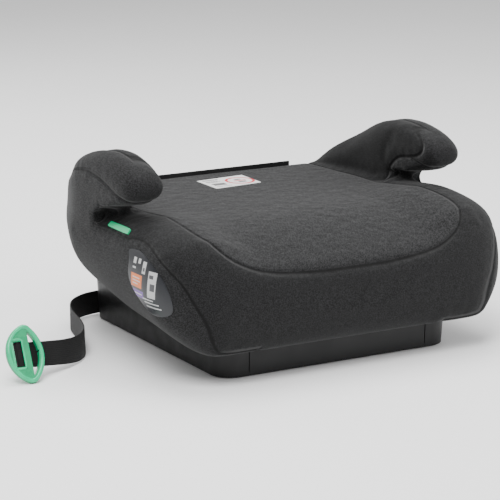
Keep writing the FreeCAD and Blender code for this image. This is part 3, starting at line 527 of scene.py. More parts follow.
@dataclass
class PaddedCover:
    """Cushion and arms as one sewn, padded cover. Sizes in millimetres."""

    half_wide: float = 225.0
    front: float = -180.0
    rear: float = 177.0
    corner: float = 72.0
    foot: float = 154.0
    high: float = 158.0
    front_drop: float = 40.0
    drop_from: float = -40.0
    top_round: float = 20.0
    side_rise: float = 9.0
    rise_from: float = 100.0
    rise_run: float = 65.0
    rear_taper: float = 45.0
    taper_from: float = 70.0
    skirt: float = 35.0
    skirt_lift: float = 39.0
    skirt_from: float = -20.0
    skirt_round: float = 15.0
    border_half: float = 120.0
    arm_across: tuple = (172.0, 222.0)
    arm_round: float = 15.0
    arm_lean: float = 0.05
    arm_foot: float = 165.0
    arm_rear: float = 176.0
    arm_long: float = 242.0
    arm_high: float = 74.0
    arm_panel_front: float = 24.0
    arm_panel_low: float = 171.0
    arm_panel_inner: float = 196.0
    base_middle: tuple = (0.0, 16.5, 50.0)
    base_size: tuple = (294.0, 311.0, 124.0)
    voxel: float = 4.5
    swell: float = 3.5
    frames: int = 20
    seam_hold: float = 6.0
    seam_dip: float = 1.6
    seam_reach: float = 4.5
    arm_outline: tuple = (
        (0.60, -0.50), (0.61, -0.12), (0.64, 0.08), (0.73, 0.17), (0.87, 0.28),
        (0.96, 0.40), (1.0, 0.55), (0.98, 0.73), (0.91, 0.87), (0.79, 0.97), (0.66, 1.0),
        (0.54, 0.95), (0.43, 0.83), (0.30, 0.61), (0.15, 0.37), (0.04, 0.12), (0.01, -0.10),
        (0.04, -0.42), (0.30, -0.56))
    seat_seam: tuple = ((150, 190), (154, 130), (158, 80), (159, 35), (162, 0), (166, -50),
                        (168, -90), (167, -120), (160, -144), (143, -160), (105, -169), (50, -173),
                        (0, -174))
    side_seam: tuple = ((22, 151), (-20, 150), (-51, 149), (-68, 151), (-89, 151), (-113, 144),
                        (-140, 129), (-156, 114), (-168, 90), (-173, 72), (-174, 50), (-174, -10))
    arm_seam: tuple = ((200, 120), (178, 150), (155, 172), (130, 184), (108, 191), (92, 197),
                       (74, 202), (52, 206), (32, 207), (2, 203), (-27, 195), (-47, 187),
                       (-60, 172), (-70, 150))
    inner_seam: tuple = ((200, 150), (200, 260), (40, 260), (-4, 236), (-26, 226), (-42, 217),
                         (-48, 207), (-38, 199), (-21, 195), (2, 190), (20, 176), (30, 160))
    hidden: tuple = ("seat_cover", "front_cover", "side_cover_left", "side_cover_right",
                     "arm_inner_cover_left", "arm_inner_cover_right", "arm_outer_cover_left",
                     "arm_outer_cover_right", "seat_foam", "front_foam", "side_foam_left",
                     "side_foam_right", "arm_foam_left", "arm_foam_right")

    def side_at(self, depth: float) -> float:
        """Half width of the cushion at one depth."""
        half = self.half_wide
        past = self.front + self.corner - depth
        if past > 0:
            half += math.sqrt(max(self.corner ** 2 - past ** 2, 0.0)) - self.corner
        return half

    def low_at(self, depth: float) -> float:
        """Height of the skirt's lower edge at one depth."""
        share = max(0.0, (depth - self.skirt_from) / (self.rear - self.skirt_from))
        near = max(0.0, self.skirt_round - (depth - self.front))
        edge = self.skirt_round - math.sqrt(self.skirt_round ** 2 - near ** 2)
        return self.skirt + self.skirt_lift * share ** 1.3 + edge

    def top_at(self, depth: float, across: float = 0.0) -> float:
        """Height of the seat's top at one depth, with a raised edge along the sides."""
        fall = max(0.0, self.drop_from - depth) / (self.drop_from - self.front)
        near = max(0.0, self.top_round - (depth - self.front))
        ahead = clamped((30.0 - depth) / 80.0) * clamped((depth - self.front) / 40.0)
        side = eased((across - self.rise_from) / self.rise_run) * ahead
        high = self.high - self.front_drop * fall ** 2.2 * (1.0 - 0.45 * side)
        return high + self.side_rise * side + math.sqrt(self.top_round ** 2 - near ** 2) - self.top_round

    def section(self, depth: float) -> np.ndarray:
        """Closed outline of the cushion across its width at one depth."""
        share = (depth - self.front) / (self.rear - self.front)
        wide, low, high = self.side_at(depth), self.low_at(depth), self.top_at(depth)
        fullness = 0.6 * (1.0 - share) ** 5
        foot = min(self.foot + (wide - self.foot) * fullness, wide - 4.0)
        middle = low + (0.48 + 0.36 * share) * (high - low)
        edge = self.top_at(depth, wide - 46.0)
        flare, under, over = wide - foot, middle - low, edge - middle
        half = [(0.45 * foot, low), (foot - 6, low), (foot + 0.45 * flare, low + 0.22 * under),
                (foot + 0.87 * flare, low + 0.6 * under), (wide, middle),
                (wide - 3, middle + 0.45 * over), (wide - 12, edge - 0.22 * over),
                (wide - 30, edge - 0.03 * over)]
        half += [(wide - inward, self.top_at(depth, wide - inward)) for inward in (50, 68, 88, 108, 140)]
        half.append((0.0, high + 1.0))
        ring = half + [(-x, z) for x, z in reversed(half[:-1])]
        return through(ring, 5, True)

    def cushion(self) -> bpy.types.Object:
        """Cushion body without its arms."""
        spread = 1.0 - np.cos(np.linspace(0.0, math.pi / 2, 14))
        depths = list(self.front + 85.0 * spread) + list(np.linspace(-85.0, 150.0, 22))
        depths += [156.0, 161.0, 166.0, 170.0, 173.5, 176.0, 177.0]
        points = []
        for depth in depths:
            ring = self.section(float(depth))
            points += [(x * MM, depth * MM, z * MM) for x, z in ring]
        return mesh_object("cushion_form", points, tube_faces(len(depths), len(ring)))

    def arm(self, side: Side) -> bpy.types.Object:
        """Arm body on one side, rounded across its width and following the cushion's rear."""
        outline = through([(self.arm_rear - self.arm_long * back, self.high + self.arm_high * up)
                           for back, up in self.arm_outline], 6, True)
        ahead = np.roll(outline, -1, axis=0) - np.roll(outline, 1, axis=0)
        normal = np.stack([ahead[:, 1], -ahead[:, 0]], axis=1)
        normal /= np.linalg.norm(normal, axis=1)[:, None]
        middle = outline.mean(axis=0)
        if ((middle - outline) * normal).sum() < 0:
            normal = -normal
        inner, outer = self.arm_across
        points, rows = [], 15
        for row in range(rows):
            angle = math.pi * row / (rows - 1)
            share = 0.5 - 0.5 * math.cos(angle)
            across = inner + (outer - inner) * share
            edge = min(across - inner, outer - across)
            short = max(0.0, self.arm_round - edge)
            sink = self.arm_round - math.sqrt(self.arm_round ** 2 - short ** 2)
            for (depth, up), (n_depth, n_up) in zip(outline, normal):
                at_depth, at_up = depth + sink * n_depth, up + sink * n_up
                tilt = self.arm_lean * max(0.0, at_up - self.arm_foot)
                points.append((side.value * (across - tilt) * MM, at_depth * MM, at_up * MM))
        return mesh_object(f"arm_form_{side.name.lower()}", points, tube_faces(rows, len(outline)))

    def hollow(self, body: bpy.types.Object) -> None:
        """Open the cushion's underside where the base stands in it."""
        bpy.ops.mesh.primitive_cube_add(size=1.0, location=[value * MM for value in self.base_middle])
        block = bpy.context.active_object
        block.dimensions = [value * MM for value in self.base_size]
        only(block)
        bpy.ops.object.transform_apply(location=True, rotation=True, scale=True)
        modified(body, "BOOLEAN", operation="DIFFERENCE", object=block, solver="EXACT")
        bpy.data.objects.remove(block)

    def tapered(self, rest: np.ndarray) -> np.ndarray:
        """Draw the sides and arms in towards the rear.

        Args:
            rest: Rows of corners in metres, with straight sides.

        Returns:
            Rows of corners with the rear drawn in.
        """
        rows = rest.copy()
        run = self.rear - self.taper_from
        share = np.clip((rest[:, 1] / MM - self.taper_from) / run, 0.0, 1.0) ** 1.35
        reach = np.clip((np.abs(rest[:, 0]) / MM - 148.0) / 74.0, 0.0, 1.1)
        rows[:, 0] -= np.sign(rest[:, 0]) * self.rear_taper * MM * share * reach
        return rows

    def flattened(self, rest: np.ndarray) -> np.ndarray:
        """Lay the seat's top exactly on its own form, clear of the arms' roots."""
        rows = rest.copy()
        for row in rows:
            across, depth = abs(row[0]) / MM, row[1] / MM
            if across > 178.0 or not self.front + 22.0 < depth < self.rear - 6.0:
                continue
            if across > 160.0 and depth > 10.0:
                continue
            top = self.top_at(depth, across)
            near = 1.0 - min(abs(row[2] / MM - top) / 5.0, 1.0)
            row[2] += min(1.0, 3.0 * near) * (top - row[2] / MM) * MM
        return rows

    def fields(self, rest: np.ndarray) -> dict:
        """Signed distances in metres that part the cover into panels.

        Args:
            rest: Rows of unswollen corners in metres.

        Returns:
            One array for each Panel, positive on that panel.
        """
        x, y, z = (np.abs(rest[:, 0]) / MM, rest[:, 1] / MM, rest[:, 2] / MM)
        half = through(list(self.seat_seam), 6, False)
        ring = np.vstack([half, [(-a, b) for a, b in half[::-1]]])
        top = np.array([self.top_at(float(min(max(d, self.front + 1), self.rear)), float(a))
                        for d, a in zip(y, x)])
        seat = np.minimum(inside_distance(x, y, ring), np.minimum(z - (top - 22.0), top + 4.0 - z))
        line = through(list(self.side_seam), 6, False)
        front = np.vstack([line, [(-320, -10), (-320, 173), (8, 173), (22, 161)]])
        border = inside_distance(y, z, front)
        border = np.where(x < self.border_half, np.maximum(border, self.border_half - x), border)
        past_root = np.maximum(y - self.arm_panel_front, z - self.arm_panel_low)
        panel = inside_distance(y, z, through(list(self.inner_seam), 6, True))
        lean = self.arm_lean * np.maximum(0.0, z - self.arm_foot)
        inner = np.minimum(self.arm_panel_inner - lean - x, np.minimum(panel, past_root))
        seam = through(list(self.arm_seam), 6, False)
        above = np.vstack([seam, [(-100, 300), (200, 300)]])
        arm = np.minimum(inside_distance(y, z, above), past_root)
        made = {Panel.SEAT: seat, Panel.INNER: inner, Panel.ARM: arm, Panel.BORDER: border}
        return {panel: values * MM for panel, values in made.items()}

    def groove(self, values: dict) -> np.ndarray:
        """Distance in metres from each corner to the nearest seam."""
        taken = np.zeros(len(values[Panel.SEAT]), bool)
        near = np.full(len(taken), 1.0)
        for panel in Panel:
            near = np.where(taken, near, np.minimum(near, np.abs(values[panel])))
            taken = taken | (values[panel] > 0)
        return near

    def swollen(self, skin: bpy.types.Object, near: np.ndarray) -> None:
        """Let the stuffing push the panels out between their held seams.

        Args:
            skin: The cover before it swells.
            near: Distance from each corner to the nearest seam.
        """
        start = coordinates(skin)
        across, depth, up = np.abs(start[:, 0]), start[:, 1], start[:, 2]
        under = (up < 0.118) & (across < 0.152) & (depth > -0.15)
        hold = skin.vertex_groups.new(name="hold")
        weight = np.clip(1.3 - near / (self.seam_hold * MM), 0.0, 1.0)
        weight[under] = 1.0
        for index in np.nonzero(weight > 0.02)[0]:
            hold.add([int(index)], float(weight[index]), "REPLACE")
        cloth = skin.modifiers.new("Cloth", "CLOTH")
        cloth_values = {"quality": 4, "mass": 0.3, "tension_stiffness": 12.0,
                        "compression_stiffness": 12.0, "shear_stiffness": 5.0,
                        "bending_stiffness": 0.5, "use_pressure": True,
                        "uniform_pressure_force": 4.0, "vertex_group_mass": "hold"}
        for key, value in cloth_values.items():
            setattr(cloth.settings, key, value)
        cloth.settings.effector_weights.gravity = 0.0
        cloth.collision_settings.use_collision = False
        cloth.point_cache.frame_start = 1
        cloth.point_cache.frame_end = self.frames
        for number in range(1, self.frames + 1):
            bpy.context.scene.frame_set(number)
        graph = bpy.context.evaluated_depsgraph_get()
        moved = np.zeros(len(skin.data.vertices) * 3)
        skin.evaluated_get(graph).data.vertices.foreach_get("co", moved)
        skin.modifiers.remove(cloth)
        shift = moved.reshape(-1, 3) - start
        length = np.maximum(np.linalg.norm(shift, axis=1), 1e-9)
        cap = self.swell * MM
        shift *= (cap * np.tanh(length / cap) / length)[:, None]
        set_coordinates(skin, start + shift)
        bpy.context.scene.frame_set(1)

    def joined(self) -> bpy.types.Object:
        """Cushion and arms as one smooth closed skin, before the taper."""
        skin = self.cushion()
        closed_up(skin)
        self.hollow(skin)
        arms = [self.arm(side) for side in Side]
        for arm in arms:
            closed_up(arm)
        only(skin)
        for arm in arms:
            arm.select_set(True)
        bpy.ops.object.join()
        skin.name = skin.data.name = "padded_cover"
        modified(skin, "REMESH", mode="VOXEL", voxel_size=self.voxel * MM)
        modified(skin, "SMOOTH", factor=0.5, iterations=14)
        return skin

    def sewn(self, skin: bpy.types.Object, near: np.ndarray) -> None:
        """Pull the seams in along the surface's normals.

        Args:
            skin: The swollen cover.
            near: Distance from each corner to the nearest seam.
        """
        work = bmesh.new()
        work.from_mesh(skin.data)
        work.normal_update()
        normals = np.array([v.normal[:] for v in work.verts])
        work.free()
        dip = self.seam_dip * MM * np.exp(-(near / (self.seam_reach * MM)) ** 2)
        set_coordinates(skin, coordinates(skin) - normals * dip[:, None])

    def make(self) -> bpy.types.Object:
        """Build the cover and return it."""
        skin = self.joined()
        start = self.flattened(coordinates(skin))
        rest = skin.data.attributes.new("rest_place", "FLOAT_VECTOR", "POINT")
        rest.data.foreach_set("vector", start.ravel())
        near = self.groove(self.fields(start))
        set_coordinates(skin, self.tapered(start))
        self.swollen(skin, near)
        self.sewn(skin, near)
        modified(skin, "SUBSURF", levels=1, render_levels=1)
        flat = np.zeros(len(skin.data.vertices) * 3)
        skin.data.attributes["rest_place"].data.foreach_get("vector", flat)
        for panel, values in self.fields(flat.reshape(-1, 3)).items():
            store = skin.data.attributes.new(panel.value, "FLOAT", "POINT")
            store.data.foreach_set("value", values.astype(np.float32))
        skin.data.attributes.remove(skin.data.attributes["rest_place"])
        skin.vertex_groups.clear()
        only(skin)
        bpy.ops.object.shade_smooth()
        skin.data.materials.clear()
        skin.data.materials.append(CoverFabric().make())
        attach(skin, "seat")
        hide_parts(*self.hidden)
        return skin


# ---------------------------------------------------------------- labels on the cover

@dataclass
class Label:
    """Thin flat piece that follows the cover's surface. Sizes in millimetres, stand_off in metres."""

    name: str
    replaced: str
    middle: tuple
    across: tuple
    up: tuple
    outline: tuple
    slot: str
    finish: "Print | Moulding"
    thick: float = 0.5
    soft: bool = True
    step: float = 1.6
    stand_off: float = 0.03

    def ring(self) -> np.ndarray:
        """Outline as close points, with soft or sharp corners."""
        if self.soft:
            return through(list(self.outline), 5, True)
        rows, parts = np.array(self.outline, float), 24
        ahead = np.roll(rows, -1, axis=0)
        return np.vstack([start + (end - start) * (part / parts) for start, end in zip(rows, ahead)
                          for part in range(parts)])

    def sheet(self, ring: np.ndarray) -> bmesh.types.BMesh:
        """Flat grid cut to the outline, with a map over its whole size.

        Args:
            ring: Rows of the outline.

        Returns:
            The working mesh.
        """
        low, high = ring.min(axis=0), ring.max(axis=0)
        columns, rows = (int((high[k] - low[k]) / self.step) + 1 for k in (0, 1))
        work = bmesh.new()
        grid = {}
        for i in range(columns + 1):
            for j in range(rows + 1):
                a = low[0] + (high[0] - low[0]) * i / columns
                b = low[1] + (high[1] - low[1]) * j / rows
                grid[i, j] = work.verts.new((a, b, 0.0))
        for i in range(columns):
            for j in range(rows):
                work.faces.new((grid[i, j], grid[i + 1, j], grid[i + 1, j + 1], grid[i, j + 1]))
        place = np.array([v.co[:2] for v in work.verts])
        gap = inside_distance(place[:, 0], place[:, 1], ring)
        for vert, distance in zip(list(work.verts), gap):
            if distance <= -1.5 * self.step:
                vert.tag = True
            elif distance < 0:
                best = ring[np.argmin(np.linalg.norm(ring - np.array(vert.co[:2]), axis=1))]
                vert.co.x, vert.co.y = float(best[0]), float(best[1])
        bmesh.ops.delete(work, geom=[v for v in work.verts if v.tag], context="VERTS")
        layer = work.loops.layers.uv.new("own")
        for face in work.faces:
            for loop in face.loops:
                loop[layer].uv = ((loop.vert.co.x - low[0]) / (high[0] - low[0]),
                                  (loop.vert.co.y - low[1]) / (high[1] - low[1]))
        return work

    def make(self, skin: bpy.types.Object) -> bpy.types.Object:
        """Build the label on the cover.

        Args:
            skin: The finished cover.

        Returns:
            The label.
        """
        tree = BVHTree.FromPolygons([v.co for v in skin.data.vertices],
                                    [tuple(p.vertices) for p in skin.data.polygons])
        across, up = Vector(self.across).normalized(), Vector(self.up).normalized()
        away = across.cross(up).normalized()
        middle = Vector(self.middle) * MM
        work = self.sheet(self.ring())
        for vert in work.verts:
            flat = middle + (across * vert.co.x + up * vert.co.y) * MM
            hit = tree.ray_cast(flat + away * self.stand_off, -away)
            vert.co = hit[0] + hit[1] * (self.thick * MM) if hit[0] else flat
        bmesh.ops.remove_doubles(work, verts=work.verts, dist=1e-5)
        piece = placed(work, self.name)
        modified(piece, "SMOOTH", factor=0.5, iterations=3)
        modified(piece, "SOLIDIFY", thickness=self.thick * MM, offset=-1.0)
        only(piece)
        bpy.ops.object.shade_smooth_by_angle(angle=math.radians(35.0))
        piece.data.materials.append(self.finish.make())
        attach(piece, "seat")
        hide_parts(self.replaced)
        return piece


# ---------------------------------------------------------------- guide strap

@dataclass
class GuideStrap:
    """Flat webbing strap from the rear wall to the clip's pin. Sizes in millimetres."""

    wide: float = 28.0
    thick: float = 1.5
    exit: tuple = (-116.0, 178.1, 15.0)
    route: tuple = ((-116.0, 178.1, 15.0), (-150.0, 178.1, 15.0), (-183.0, 160.0, 15.0),
                    (-203.0, 128.0, 15.0), (-212.0, 92.0, 15.0), (-220.0, 56.0, 15.0),
                    (-233.0, 22.0, 15.0), (-258.0, -5.0, 15.0), (-315.14, -29.19, 25.6),
                    (-339.11, -29.19, 26.8))
    pin: tuple = (-339.04, -31.61, 28.20)
    fold: float = 2.8
    sewn_from: float = 11.0
    box_across: tuple = (13.5, 23.0)
    box_half: float = 9.5
    thread: float = 0.35
    stitch: float = 2.6
    along: Vector = field(default_factory=lambda: Vector((0.99874, 0.0, -0.05019)))
    up: Vector = field(default_factory=lambda: Vector((0.04348, 0.50001, 0.86493)))
    face: Vector = field(default_factory=lambda: Vector((0.0251, -0.8660, 0.4994)))

    def centreline(self) -> list:
        """Points of the strap's smooth middle line, in metres."""
        curve = bpy.data.curves.new("strap_line", "CURVE")
        curve.dimensions = "3D"
        curve.resolution_u = 24
        spline = curve.splines.new("NURBS")
        spline.points.add(len(self.route) - 1)
        for point, place in zip(spline.points, self.route):
            point.co = (place[0] * MM, place[1] * MM, place[2] * MM, 1.0)
        spline.order_u = 3
        spline.use_endpoint_u = True
        holder = bpy.data.objects.new("strap_line", curve)
        bpy.context.scene.collection.objects.link(holder)
        bpy.context.view_layer.update()
        line = bpy.data.meshes.new_from_object(holder)
        points = [v.co.copy() for v in line.vertices]
        bpy.data.objects.remove(holder)
        start = Vector(self.exit) * MM
        if (points[0] - start).length > (points[-1] - start).length:
            points.reverse()
        return points

    def band(self, name: str, points: list, widths: list) -> bpy.types.Object:
        """Flat band with rounded edges along a line.

        Args:
            name: Name of the piece.
            points: Middle line in metres.
            widths: Direction of the band's width at each point.

        Returns:
            The band, with a map in metres.
        """
        half, deep = self.wide * MM / 2.0, self.thick * MM / 2.0
        profile = [(-half + 0.0004, -deep), (-half * 0.5, -deep * 1.05), (half * 0.5, -deep * 1.05),
                   (half - 0.0004, -deep), (half, -deep * 0.3), (half, deep * 0.3),
                   (half - 0.0004, deep), (half * 0.5, deep * 1.05), (-half * 0.5, deep * 1.05),
                   (-half + 0.0004, deep), (-half, deep * 0.3), (-half, -deep * 0.3)]
        work = bmesh.new()
        rings, runs, run = [], [], 0.0
        for index, point in enumerate(points):
            ahead = points[min(index + 1, len(points) - 1)] - points[max(index - 1, 0)]
            ahead.normalize()
            width = (widths[index] - ahead * widths[index].dot(ahead)).normalized()
            normal = ahead.cross(width).normalized()
            rings.append([work.verts.new(point + width * a + normal * b) for a, b in profile])
            if index:
                run += (point - points[index - 1]).length
            runs.append(run)
        layer = work.loops.layers.uv.new("own")
        count = len(profile)
        for row in range(len(rings) - 1):
            for k in range(count):
                nxt = (k + 1) % count
                face = work.faces.new((rings[row][k], rings[row][nxt],
                                       rings[row + 1][nxt], rings[row + 1][k]))
                values = ((runs[row], profile[k][0]), (runs[row], profile[nxt][0]),
                          (runs[row + 1], profile[nxt][0]), (runs[row + 1], profile[k][0]))
                for loop, (u, v) in zip(face.loops, values):
                    loop[layer].uv = (u, v + half)
        work.faces.new(rings[0])
        work.faces.new(list(reversed(rings[-1])))
        bmesh.ops.recalc_face_normals(work, faces=work.faces)
        piece = placed(work, name)
        only(piece)
        bpy.ops.object.shade_smooth_by_angle(angle=math.radians(50.0))
        return piece

    def widths(self, points: list) -> list:
        """Width directions, upright at first and along the pin at the end."""
        total = sum((b - a).length for a, b in zip(points, points[1:]))
        made, run = [], 0.0
        for index, point in enumerate(points):
            if index:
                run += (point - points[index - 1]).length
            share = eased((run - 0.5 * total) / (0.38 * total))
            made.append(Vector((0.0, 0.0, 1.0)).lerp(self.up, share).normalized())
        return made

    def fold_line(self) -> list:
        """Line of the strap's end round the pin and back along the strap."""
        pin = Vector(self.pin)
        points = [pin - self.face * self.fold + self.along * 3.0]
        for angle in (math.pi * step / 12 for step in range(13)):
            points.append(pin - self.face * (self.fold * math.cos(angle))
                          - self.along * (self.fold * math.sin(angle)))
        points += [pin + self.face * 1.9 + self.along * 4.2, pin + self.face * 0.1 + self.along * 7.6]
        for step in range(8):
            points.append(pin - self.face * 1.25 + self.along * (self.sewn_from + 2.0 * step))
        return [point * MM for point in points]

    def stitches(self, finish: bpy.types.Material) -> bpy.types.Object:
        """Boxed cross of short threads through the strap's sewn end."""
        base = Vector(self.pin) - self.face * 0.30
        runs = []
        (left, right), low, high = self.box_across, -self.box_half, self.box_half
        corners = [(left, low), (right, low), (right, high), (left, high)]
        pairs = list(zip(corners, corners[1:] + corners[:1]))
        pairs += [(corners[0], corners[2]), (corners[1], corners[3])]
        for start, end in pairs:
            count = max(2, round(math.dist(start, end) / self.stitch))
            for index in range(count):
                a = [start[k] + (end[k] - start[k]) * (index + 0.15) / count for k in (0, 1)]
                b = [start[k] + (end[k] - start[k]) * (index + 0.85) / count for k in (0, 1)]
                runs.append([(base + self.along * p[0] + self.up * p[1]) * MM for p in (a, b)])
        work = bmesh.new()
        radius = self.thread * MM
        for start, end in runs:
            middle = (start + end) / 2.0
            turn = (end - start).to_track_quat("Z", "Y").to_matrix().to_4x4()
            made = bmesh.ops.create_uvsphere(work, u_segments=6, v_segments=4, radius=radius)
            stretch = Matrix.Diagonal((1.0, 1.0, (end - start).length / (2.0 * radius), 1.0))
            spot = Matrix.Translation(middle) @ turn @ stretch
            bmesh.ops.transform(work, matrix=spot, verts=made["verts"])
        piece = placed(work, "strap_stitches")
        piece.data.materials.append(finish)
        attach(piece, "seat")
        return piece

    def make(self, beside: list) -> bpy.types.Object:
        """Build the strap, its sewn end and its stitches.

        Args:
            beside: Further pieces on the strap's far end. Not used.

        Returns:
            The strap.
        """
        points = self.centreline()
        strap = self.band("strap_band", points, self.widths(points))
        finish = Webbing().make()
        strap.data.materials.append(finish)
        fold = self.fold_line()
        end = self.band("strap_sewn_end", fold, [self.up] * len(fold))
        end.data.materials.append(finish)
        thread = self.stitches(Webbing(colour=(0.03, 0.03, 0.032)).make())
        for piece in (strap, end):
            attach(piece, "seat")
        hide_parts("guide_strap")
        return strap


# ---------------------------------------------------------------- clip

@dataclass
class ClipRim:
    """Rounded rims moulded round the clip's plate and its window. Sizes in millimetres."""

    half_high: float = 34.0
    tip_at: float = 12.0
    left: float = 15.0
    right: float = 29.0
    radius: float = 2.6
    inward: float = 2.7
    depth: float = 1.3
    window_across: tuple = (-7.4, 5.2)
    window_high: float = 16.4
    window_corner: float = 2.6
    window_radius: float = 1.3
    window_depth: float = 0.5
    sides: int = 14
    strap: GuideStrap = field(default_factory=GuideStrap)

    def arc(self, reach: float, count: int) -> list:
        """Points of one side's arc from the lower tip to the upper one."""
        rise = reach - self.tip_at
        radius = (self.half_high ** 2 + rise ** 2) / (2.0 * abs(rise))
        centre = reach - math.copysign(radius, rise)
        half = math.asin(self.half_high / radius)
        line = radius - self.inward
        return [(centre + math.copysign(line * math.cos(angle), rise), line * math.sin(angle))
                for angle in np.linspace(-half * 0.90, half * 0.90, count)]

    def window(self) -> list:
        """Points of the edge round the window that the strap's loop fills."""
        (left, right), high, corner = self.window_across, self.window_high, self.window_corner
        made = []
        for across, up, start in ((right, high, 0.0), (left, high, 0.5), (left, -high, 1.0),
                                  (right, -high, 1.5)):
            for step in range(5):
                turn = math.pi * (start + step / 8.0)
                made.append((across - math.copysign(corner, across) + corner * math.cos(turn),
                             up - math.copysign(corner, up) + corner * math.sin(turn)))
        return made

    def bar(self, work: bmesh.types.BMesh, middle: Vector, ring: np.ndarray, radius: float) -> None:
        """Add a closed round bar along an outline in the plate's plane.

        Args:
            work: Mesh that takes the bar.
            middle: Origin of the outline.
            ring: Rows of the outline.
            radius: Radius of the bar.
        """
        axis = self.strap.face
        points = [middle + self.strap.along * float(a) + self.strap.up * float(b) for a, b in ring]
        loops = []
        for index, point in enumerate(points):
            ahead = (points[(index + 1) % len(points)] - points[index - 1]).normalized()
            side = ahead.cross(axis).normalized()
            turns = np.linspace(0.0, 2.0 * math.pi, self.sides, endpoint=False)
            away = [(side * math.cos(turn) + axis * math.sin(turn)) * radius for turn in turns]
            loops.append([work.verts.new((point + shift) * MM) for shift in away])
        for row, loop in enumerate(loops):
            after = loops[(row + 1) % len(loops)]
            for k in range(self.sides):
                nxt = (k + 1) % self.sides
                work.faces.new((loop[k], loop[nxt], after[nxt], after[k]))

    def make(self) -> bpy.types.Object:
        """Build the raised rims of the plate's edge and of its window."""
        heights = coordinates(frame["nodes"]["belt_clip"]) / MM @ np.array(self.strap.face)
        middle = Vector(self.strap.pin)
        front = float(heights.max()) - middle.dot(self.strap.face)
        edge = self.arc(self.right, 26) + list(reversed(self.arc(-self.left, 26)))
        rims = ((edge, self.depth, self.radius), (self.window(), self.window_depth, self.window_radius))
        work = bmesh.new()
        for outline, depth, radius in rims:
            origin = middle + self.strap.face * (front - depth)
            self.bar(work, origin, through(outline, 2, True), radius)
        bmesh.ops.recalc_face_normals(work, faces=work.faces)
        piece = placed(work, "clip_rim")
        only(piece)
        bpy.ops.object.shade_smooth()
        # The rim keeps the lighter mint; the plate's darker mint is painted shade for the recess inside
        # the rim.
        finish = Moulding("mint_rim", (0.0, 0.46, 0.20), 0.22, 0.00002, 0.3)
        piece.data.materials.append(finish.make())
        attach(piece, "clip")
        return piece


# ---------------------------------------------------------------- carried-over parts

@dataclass
class CarriedParts:
    """Finishes of the parts that keep their own shape."""

    body: Moulding = Moulding("satin_black", (0.0030, 0.0030, 0.0033), 0.44, 0.00008)
    trim: Moulding = Moulding("trim_black", (0.006, 0.006, 0.0065), 0.50, 0.00006)
    # Painted shade: the plate is a darker mint (0.30 green against the rim's 0.46) to paint the recess
    # inside the rim, though plate and rim are one mint plastic.
    clip: Moulding = Moulding("mint_gloss_painted_shade", (0.0, 0.30, 0.12), 0.30, 0.00002, 0.2)
    rubber: Moulding = Moulding("black_rubber", (0.018, 0.018, 0.018), 0.82, 0.0002)
    steel: Metal = Metal()
    foam: Foam = Foam()

    def make(self) -> None:
        """Dress every part of the frame, in foam where nothing else is named."""
        groups = ((self.body, ("base_shell", "seat_shell", "arm_core_left", "arm_core_right")),
                  (self.trim, ("rear_trim", "anchor_plate")),
                  (self.clip, ("belt_clip",)),
                  (self.rubber, ("rubber_feet",)),
                  (self.steel, ("base_screws", "anchor_screws", "clip_pin")))
        foam = self.foam.make()
        dress = {}
        for finish, names in groups:
            dress.update(dict.fromkeys(names, finish.make()))
        for name, node in frame["nodes"].items():
            material = dress.get(name, foam)
            if not node.data.materials:
                node.data.materials.append(material)
            for place in node.material_slots:
                place.link = "OBJECT"
                place.material = material


# ---------------------------------------------------------------- studio

@dataclass
class Studio:
    """Pale floor, soft lights and the camera."""

    target: tuple = (-0.02286, 0.0165, 0.0978)
    place: tuple = (-1.2796, -2.1831, 0.7060)
    lens: float = 161.6
    sensor: float = 36.0
    ambient: float = 0.62
    lamps: tuple = (("key", (-1.0, -0.9, 2.1), 1.2, 62.0), ("fill", (1.8, -1.4, 1.2), 1.6, 34.0),
                    ("above", (0.2, 0.6, 2.2), 1.6, 58.0), ("rear", (-0.6, 1.9, 1.0), 1.4, 14.0))

    def floor(self) -> None:
        """Wide pale floor."""
        bpy.ops.mesh.primitive_plane_add(size=12.0, location=(0.0, 0.0, -0.0002))
        floor = bpy.context.active_object
        floor.name = "floor"
        r = Recipe("pale_floor")
        r.link(r.mix(r.noise(3.0, 2.0), (0.93, 0.93, 0.93, 1.0), (0.96, 0.96, 0.96, 1.0)),
               r.shader.inputs["Base Color"])
        r.shader.inputs["Roughness"].default_value = 0.6
        floor.data.materials.append(r.material)

    def aimed(self, thing: bpy.types.Object, place: tuple, target: tuple) -> None:
        """Put a lamp or a camera in its place and turn it to a target."""
        thing.location = place
        thing.rotation_euler = (Vector(target) - Vector(place)).to_track_quat("-Z", "Y").to_euler()
        bpy.context.scene.collection.objects.link(thing)

    def lamp(self, name: str, place: tuple, size: float, power: float) -> None:
        """Square soft light aimed at the seat."""
        data = bpy.data.lights.new(name, "AREA")
        data.size = size
        data.energy = power
        self.aimed(bpy.data.objects.new(name, data), place, (0.0, 0.0, 0.1))

    def make(self) -> None:
        """Set the stage."""
        self.floor()
        for lamp in self.lamps:
            self.lamp(*lamp)
        world = bpy.data.worlds.new("studio")
        world.use_nodes = True
        sky = world.node_tree.nodes["Background"]
        sky.inputs["Color"].default_value = (1.0, 1.0, 1.0, 1.0)
        sky.inputs["Strength"].default_value = self.ambient
        bpy.context.scene.world = world
        data = bpy.data.cameras.new("camera")
        data.lens = self.lens
        data.sensor_width = self.sensor
        camera = bpy.data.objects.new("camera", data)
        self.aimed(camera, self.place, self.target)
        bpy.context.scene.camera = camera


